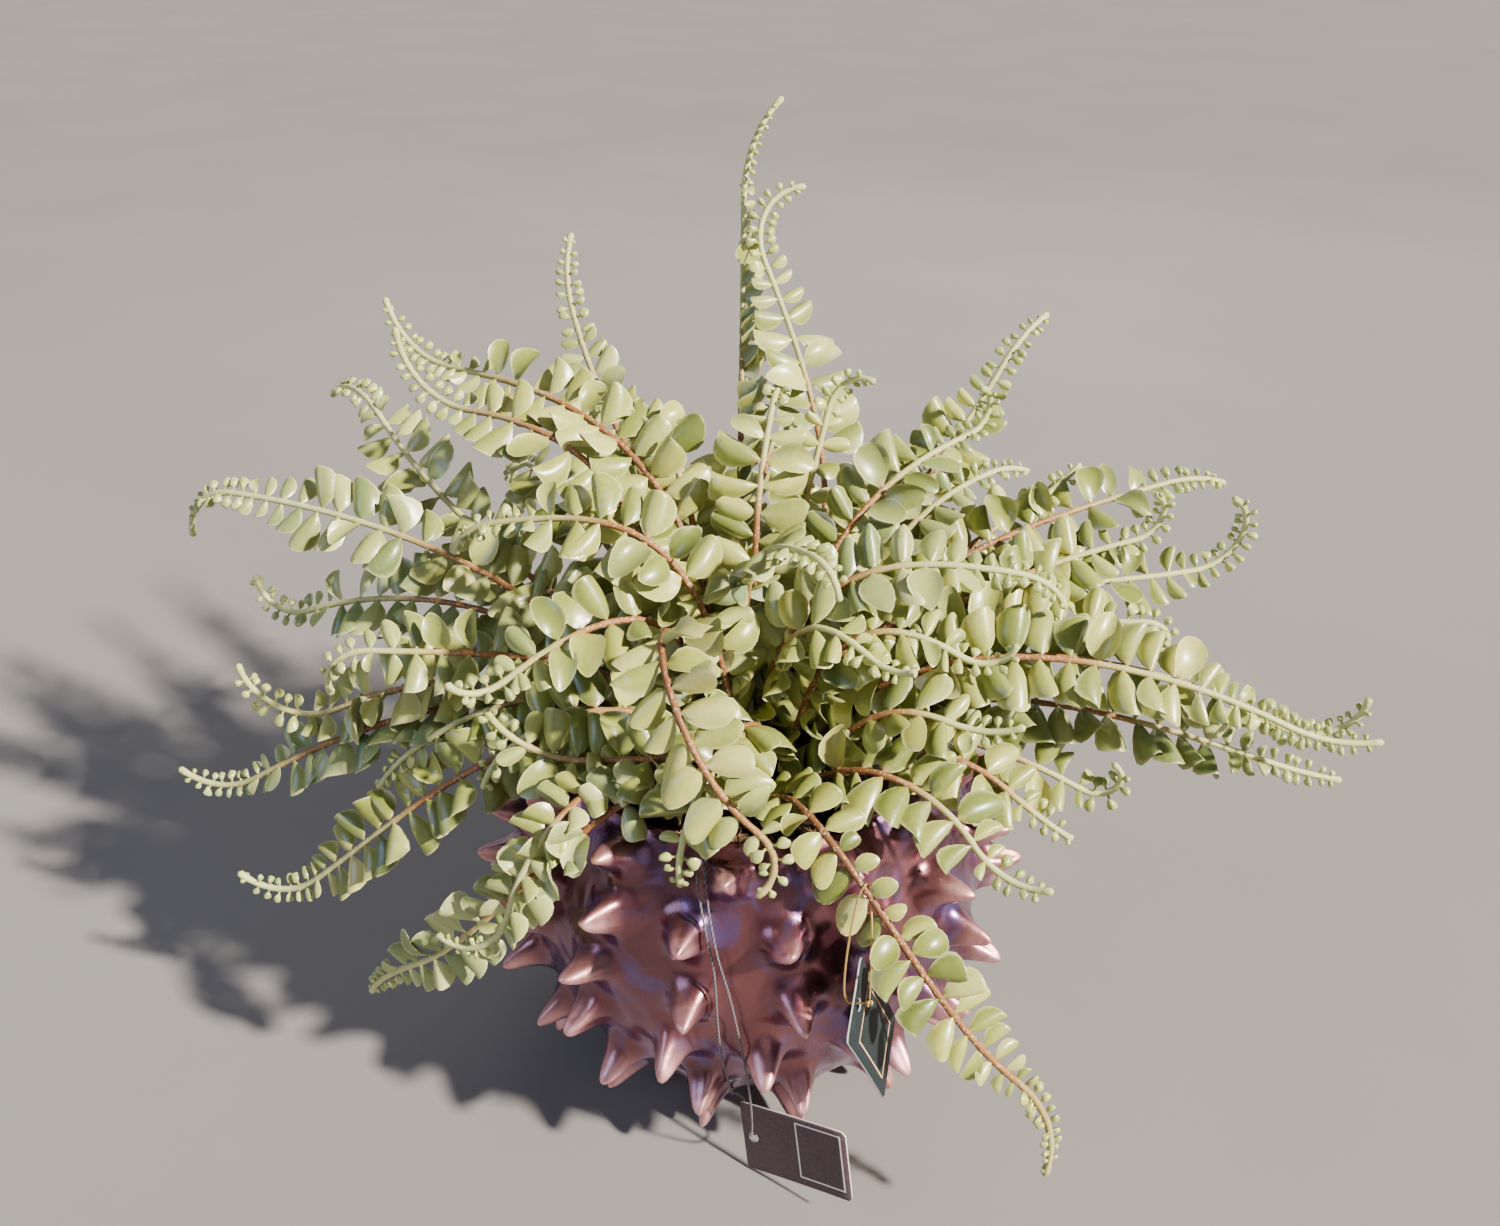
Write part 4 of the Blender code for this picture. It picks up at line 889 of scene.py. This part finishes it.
def leafSkin(path, node, habit):
    # leaflets in pairs, whose size rises from the frond's foot and falls as tail says to its tip.
    # On each, u runs from the rib to the end, v from the stalk's end, b round the section:
    # along = size u, across = width x + bend v^2, height = thickness sin b
    # - width (cup x^2 + fold |x| half) - size droop v^2 + width curl x (v - 0.4)
    # + size/20 sin(pi v), where x = half(v) cos b and half(v) = (1 - (1 - v/peak)^2)^taper
    # up to the peak and (1 - ((v - peak)/(1 - peak))^2)^point past it
    def draw(low, high):
        return leafChance.uniform(low, high, count)

    def vary(middle, spread):
        return leafChance.normal(middle, spread, count)

    def wide(values):
        return np.asarray(values)[:, None, None]

    total = path["total"]
    spots, length = [], leaf["first"] * total
    while length < leaf["last"] * total:
        share = length / total
        size = leaf["length"] * habit["size"] * min(1, 0.82 + share - leaf["first"],
                                                     np.interp(habit["late"] * (1 - share), *leaf["tail"]))
        spots.append((length, size))
        length += leaf["least"] + leaf["step"] * size
    spots, sizes = np.array(spots).T
    near, tilts, scales = solidLeaves(path, node)
    if habit["lay"] is not None:
        tilts, scales = np.full(tilts.shape, habit["lay"]), np.ones(scales.shape)
    close = abs(spots[:, None] - near).argmin(axis=1)
    spots = np.repeat(spots, 2)
    count = len(spots)
    hand = np.tile((1.0, -1.0), count // 2)
    spots = spots + draw(*leaf["places"]) * np.repeat(sizes, 2)
    share = spots / total
    size = np.repeat(sizes, 2) * draw(*leaf["sizes"])
    scale = scales[close].ravel()
    size = size * np.select((scale > 0.9, scale > 0.7, scale > 0.5), (1.0, 0.9, 0.8), 0.62)
    last = 1 - (1 - share) * habit["late"]
    small = smoothStep(0.58, 0.8, last)  # leaflets near the tip lie flatter and are narrow ovals
    bead = smoothStep(0.78, 0.86, last)  # and the last are beads on stalks
    tilt = np.radians(tilts[close].ravel() * (1 - 0.5 * small) + vary(0, leaf["tilts"]))
    sweep = np.radians(vary(leaf["sweep"], leaf["sweeps"]) + 8 * small - 8 * bead
                       + 45 * smoothStep(0.965, 0.985, share))
    twist = np.radians(vary(habit["twist"], leaf["twists"])) * (1 - 0.5 * small)
    width = 0.5 * leaf["width"] * size * draw(*leaf["widths"]) * (1 - 0.2 * small)
    cup = draw(*leaf["cups"]) * habit["cup"] * (1 - 0.5 * bead)
    cup = np.where(leafChance.random(count) < leaf["cupsUp"], -0.8 * cup, cup)
    fold = np.where(leafChance.random(count) < habit["folded"], draw(*leaf["folds"]), 0.08)
    droop = draw(*leaf["droops"]) * habit["cup"] * (1 - 0.6 * small)
    bend = (0.16 - 0.25 * (habit["peak"] - 0.36) + vary(0, leaf["bends"])) * size * (1 - 0.7 * small)
    curl = vary(0, leaf["curls"])
    peak = np.clip(vary(habit["peak"], leaf["peaks"]), 0.32, 0.64)
    peak = peak + (0.58 - peak) * small
    taper = np.clip(0.42 + 1.5 * (peak - 0.38) + vary(0, leaf["tapers"]), 0.36, 0.95)
    point = np.clip(habit["point"] - 0.6 * (peak - 0.38) + vary(0, leaf["points"]), 0.42, 0.95)
    tone = np.clip(habit["tone"] + vary(0, leaf["tones"]), 0, 1)
    cool = np.clip(habit["cool"] + vary(0, leaf["cools"]), 0, 1)

    place, ahead, side, up = ribAt(path, spots)
    tilt, sweep, twist, hand = (v[:, None] for v in (tilt, sweep, twist, hand))
    out, face = turned(tilt, hand * side, up)
    out, over = turned(sweep, out, ahead)
    over, face = turned(twist, over, face)

    neck = wide(leaf["neck"] + (leaf["beadNeck"] - leaf["neck"]) * bead)
    v = np.array((0.0, 0.0, *leaf["rings"]))[None, :, None]
    onStalk = (np.arange(v.size) < 2)[None, :, None]
    u = neck * (np.arange(v.size) > 0)[None, :, None] + (1 - neck) * v
    b = circle(leaf["around"])[None, None]
    inner = (1 - (1 - np.minimum(v / wide(peak), 1)) ** 2) ** wide(taper)
    outer = np.clip(1 - (np.maximum(v - wide(peak), 0) / (1 - wide(peak))) ** 2, 0, 1) ** wide(point)
    stalk = leaf["stalk"] * (0.7 + 0.3 * np.minimum(size / leaf["length"], 1))
    half = inner * outer
    x = half * np.cos(b)
    across = wide(width) * x * (1 - 0.18 * np.sign(x) * wide(1 - small)) * (1 - 0.18 * abs(wide(cup)))
    across = np.where(onStalk, wide(stalk) * np.cos(b), across) + wide(bend) * v ** 2
    thick = wide(leaf["thick"] + (leaf["bead"] * size - leaf["thick"]) * bead) * (1 - 0.3 * v)
    high = (-np.where(onStalk, wide(stalk), thick) * wide(hand[:, 0]) * np.sin(b)
            - wide(width) * (wide(cup) * x ** 2 + wide(fold) * abs(x) * half)
            - wide(size * droop) * v ** 2 + wide(width * curl) * x * (v - 0.4)
            + wide(0.05 * size) * np.sin(pi * v))
    grid = (place[:, None, None] + (wide(size) * u)[..., None] * out[:, None, None]
            + across[..., None] * over[:, None, None] + high[..., None] * face[:, None, None])
    end = place + size[:, None] * out + bend[:, None] * over - (size * droop)[:, None] * face
    under = np.where(np.sin(b) * -wide(hand[:, 0]) < -0.1, 1.0, 0.0)
    margin = np.clip(np.maximum(abs(np.cos(b)) * (v > 0.02), v ** 3), 0, 1) + 0 * wide(size)
    marks = dict(share=wide(share), tone=wide(tone), margin=margin, under=under, crease=abs(np.cos(b)),
                 cool=wide(cool), base=np.clip(1 - v / 0.3, 0, 1) + 0 * wide(size))
    free = clearOf(grid)
    marks = {key: np.broadcast_to(value, grid.shape[:3])[free] for key, value in marks.items()}
    return shells(grid[free], place[free], end[free], marks, 1), spots[::2], free.sum()


def ribSkin(path, nodes, habit):
    # a tube of radius thin + (thick - thin)(1 - share^1.6), thicker at each pair of leaflets,
    # and pinched to the room that the gold cord leaves; the mark ridge is 1 on its upper side, which is
    # painted lighter: painted light from above
    rings = int((path["total"] - rib["start"]) / rib["step"])
    length = np.linspace(rib["start"], path["total"], rings)
    place, ahead, side, up = ribAt(path, length)
    share = length / path["total"]
    radius = rib["thin"] + (rib["thick"] - rib["thin"]) * (1 - share ** 1.6)
    near = abs(length[:, None] - nodes).min(axis=1) / mm
    radius = radius * (1 + rib["node"] * np.exp(-(near / rib["nodeReach"]) ** 2))
    radius = radius * np.where(share > leaf["last"], rib["knob"], 1)
    away = goldLine - place[:, None]
    beside = (away * ahead[:, None]).sum(axis=-1)
    aside = np.sqrt(np.maximum((away ** 2).sum(axis=-1) - beside ** 2, 0))
    room = np.where(abs(beside) < rib["cordReach"], aside, 1.0).min(axis=1)
    radius = np.minimum(radius, room - goldCord["radius"] - rib["cordGap"])
    grid = sleeve(place, side, up, np.tile(radius[:, None], rib["around"]))
    marks = dict(share=share[None, :, None] * habit["green"],
                 ridge=np.sin(circle(rib["around"]))[None, None] * 0.5 + 0.5)
    ends = place[0] - ahead[0] * radius[0] * 0.5, place[-1] + ahead[-1] * radius[-1] * 0.8
    return shells(grid[None], ends[0][None], ends[1][None], marks)


def paintRib(w):
    # red-brown stem with pale flecks, pale green towards the tip; its upper side is painted lighter as
    # painted light from above
    share = w.mark("share") + (w.noise(30, 2) - 0.5) * 0.22
    ridge = w.mark("ridge")
    fleck = w.noise(700, 2).between(0.57, 0.66)
    bark = share.ramp((0.0, (0.055, 0.019, 0.006)), (0.35, (0.13, 0.04, 0.01)),
                      (0.58, (0.21, 0.076, 0.018)), (0.7, (0.33, 0.24, 0.07)),
                      (0.8, (0.37, 0.41, 0.13)), (1.0, (0.45, 0.51, 0.18)))
    lit = share.ramp((0.0, (0.1, 0.038, 0.012)), (0.4, (0.23, 0.082, 0.021)), (0.6, (0.34, 0.145, 0.038)),
                     (0.74, (0.48, 0.43, 0.16)), (1.0, (0.55, 0.58, 0.24)))
    # upper side mixed to the lit colours: painted light from above
    colour = ridge.between(0.55, 0.95).mix(bark, lit)
    colour = (fleck * 0.55).mix(colour, (0.66, 0.54, 0.38))
    grain = w.noise(380, 3)
    return {"Base Color": colour, "Roughness": 0.46 + grain * 0.2, "Normal": w.bump(grain, 0.5, 0.0004)}


def paintLeaf(w):
    # pale sage to yellow green, greyer and bluer below, cream at the margin
    tone, share, margin, under = (w.mark(name) for name in ("tone", "share", "margin", "under"))
    cloud = w.noise(60, 3)
    mottle = w.noise(330, 4, roughness=0.6)
    mixed = tone + (cloud - 0.5) * 0.5 + (mottle - 0.5) * 0.28
    top = mixed.ramp((0.0, (0.125, 0.16, 0.024)), (0.3, (0.225, 0.255, 0.042)), (0.55, (0.345, 0.358, 0.07)),
                     (0.8, (0.48, 0.465, 0.11)), (1.0, (0.62, 0.575, 0.18)))
    below = mixed.ramp((0.1, (0.16, 0.225, 0.105)), (0.6, (0.29, 0.345, 0.18)), (1.0, (0.42, 0.455, 0.25)))
    # the cool mark turns the tops of some fronds bluish grey: painted reflection of a bluish sky
    top = (w.mark("cool") * 0.6).mix(top, mixed.ramp((0.2, (0.13, 0.215, 0.095)), (0.8, (0.34, 0.43, 0.24))))
    colour = under.between(0.3, 0.7).mix(top, below)
    colour = (share.between(0.66, 0.96) * 0.55).mix(colour, (0.45, 0.52, 0.17))
    blush = w.mark("base").between(0.3, 1.0) * w.noise(24, 2).between(0.52, 0.66)
    colour = (blush * 0.5).mix(colour, (0.5, 0.27, 0.13))
    colour = (margin.between(0.8, 1.0) * 0.5).mix(colour, (0.72, 0.69, 0.34))
    return {"Base Color": colour, "Roughness": 0.32 + mottle * 0.14 + under * 0.14,
            "Normal": w.bump(mottle + w.noise(1300, 2) * 0.3, 0.28, 0.0005)}


ribFinish = makeMaterial("rib_bark", paintRib)
leafFinish = makeMaterial("leaf_sage", paintLeaf, Coat_Weight=0.55, Coat_Roughness=0.27)

leafTotal = 0
for name, root, tip, rise, dip, bow, hook, *own in fronds:
    habit = {key: leafChance.uniform(*ends) for key, ends in habitRanges.items()}
    habit.update(cool=0.9 * habit["cool"] ** 4, roll=0, lay=None)
    habit.update(*own)
    path = ribLine(root, tip, rise, dip, bow, hook, habit["roll"])
    leaves, nodes, count = leafSkin(path, "frond_" + name, habit)
    makePiece("fern_" + name, [ribSkin(path, nodes, habit), leaves], [ribFinish, leafFinish],
              ["frond_" + name], "crease")
    leafTotal += count
print("fronds: %d with %d leaflets" % (len(fronds), leafTotal))


# floor and light

def paintFloor(w):
    cloud = w.noise(3, 3)
    return {"Base Color": cloud.ramp((0.3, (0.205, 0.191, 0.18)), (0.7, (0.221, 0.207, 0.196))),
            "Roughness": 0.7 + w.noise(40, 3) * 0.1}


def addFloor():
    mesh = bpy.data.meshes.new("floor")
    far = 12.0
    mesh.from_pydata([(-far, -far, 0), (far, -far, 0), (far, far, 0), (-far, far, 0)], [], [(0, 1, 2, 3)])
    mesh.materials.append(makeMaterial("floor_pale", paintFloor))
    link(bpy.data.objects.new("floor", mesh))


lights = dict(
    key=dict(kind="SUN", way=(0.72, -0.36, 0.6), angle=3.0, power=13.0, colour=(1.0, 0.94, 0.83)),
    fill=dict(kind="AREA", way=(-0.85, -0.35, 0.55), far=1.7, size=0.9, power=9, colour=(0.52, 0.64, 1.0)),
    front=dict(kind="AREA", way=(0.1, -0.9, 0.55), far=2.0, size=1.6, power=3, colour=(0.97, 0.97, 1.0)),
    back=dict(kind="AREA", way=(0.25, 0.9, 0.6), far=2.0, size=1.4, power=13, colour=(1.0, 0.97, 0.94)))


def addLight(name, plan):
    data = bpy.data.lights.new(name, plan["kind"])
    if plan["kind"] == "SUN":
        data.angle = radians(plan["angle"])
    else:
        data.shape = "DISK"
        data.size = plan["size"]
    data.energy = plan["power"]
    data.color = plan["colour"]
    light = link(bpy.data.objects.new(name, data))
    way = unit(np.array(plan["way"]))
    place = way * plan.get("far", 2.0) + (0, 0, 0.2)
    across = unit(np.cross((0, 0, 1), way))
    axes = np.column_stack((across, np.cross(way, across), way, place))
    light.matrix_world = Matrix([*axes.tolist(), (0, 0, 0, 1)])


sky = dict(horizon=(0.5, 0.5, 0.5), low=(0.36, 0.365, 0.38), high=(0.105, 0.11, 0.125))


def addSky(plan):
    # a grey sky that is paler near the horizon
    world = bpy.data.worlds.new("studio")
    world.use_nodes = True
    w = Wire(world.node_tree)
    height = w.node("SeparateXYZ", None, {0: w.node("TexCoord", None, None, "Generated")}, 2)
    shade = height.ramp((0.0, plan["horizon"]), (0.14, plan["low"]), (0.34, plan["high"]))
    world.node_tree.links.new(shade.socket, world.node_tree.nodes["Background"].inputs["Color"])
    bpy.context.scene.world = world


addFloor()
for name, plan in lights.items():
    addLight(name, plan)
addSky(sky)
print("floor and light: done")
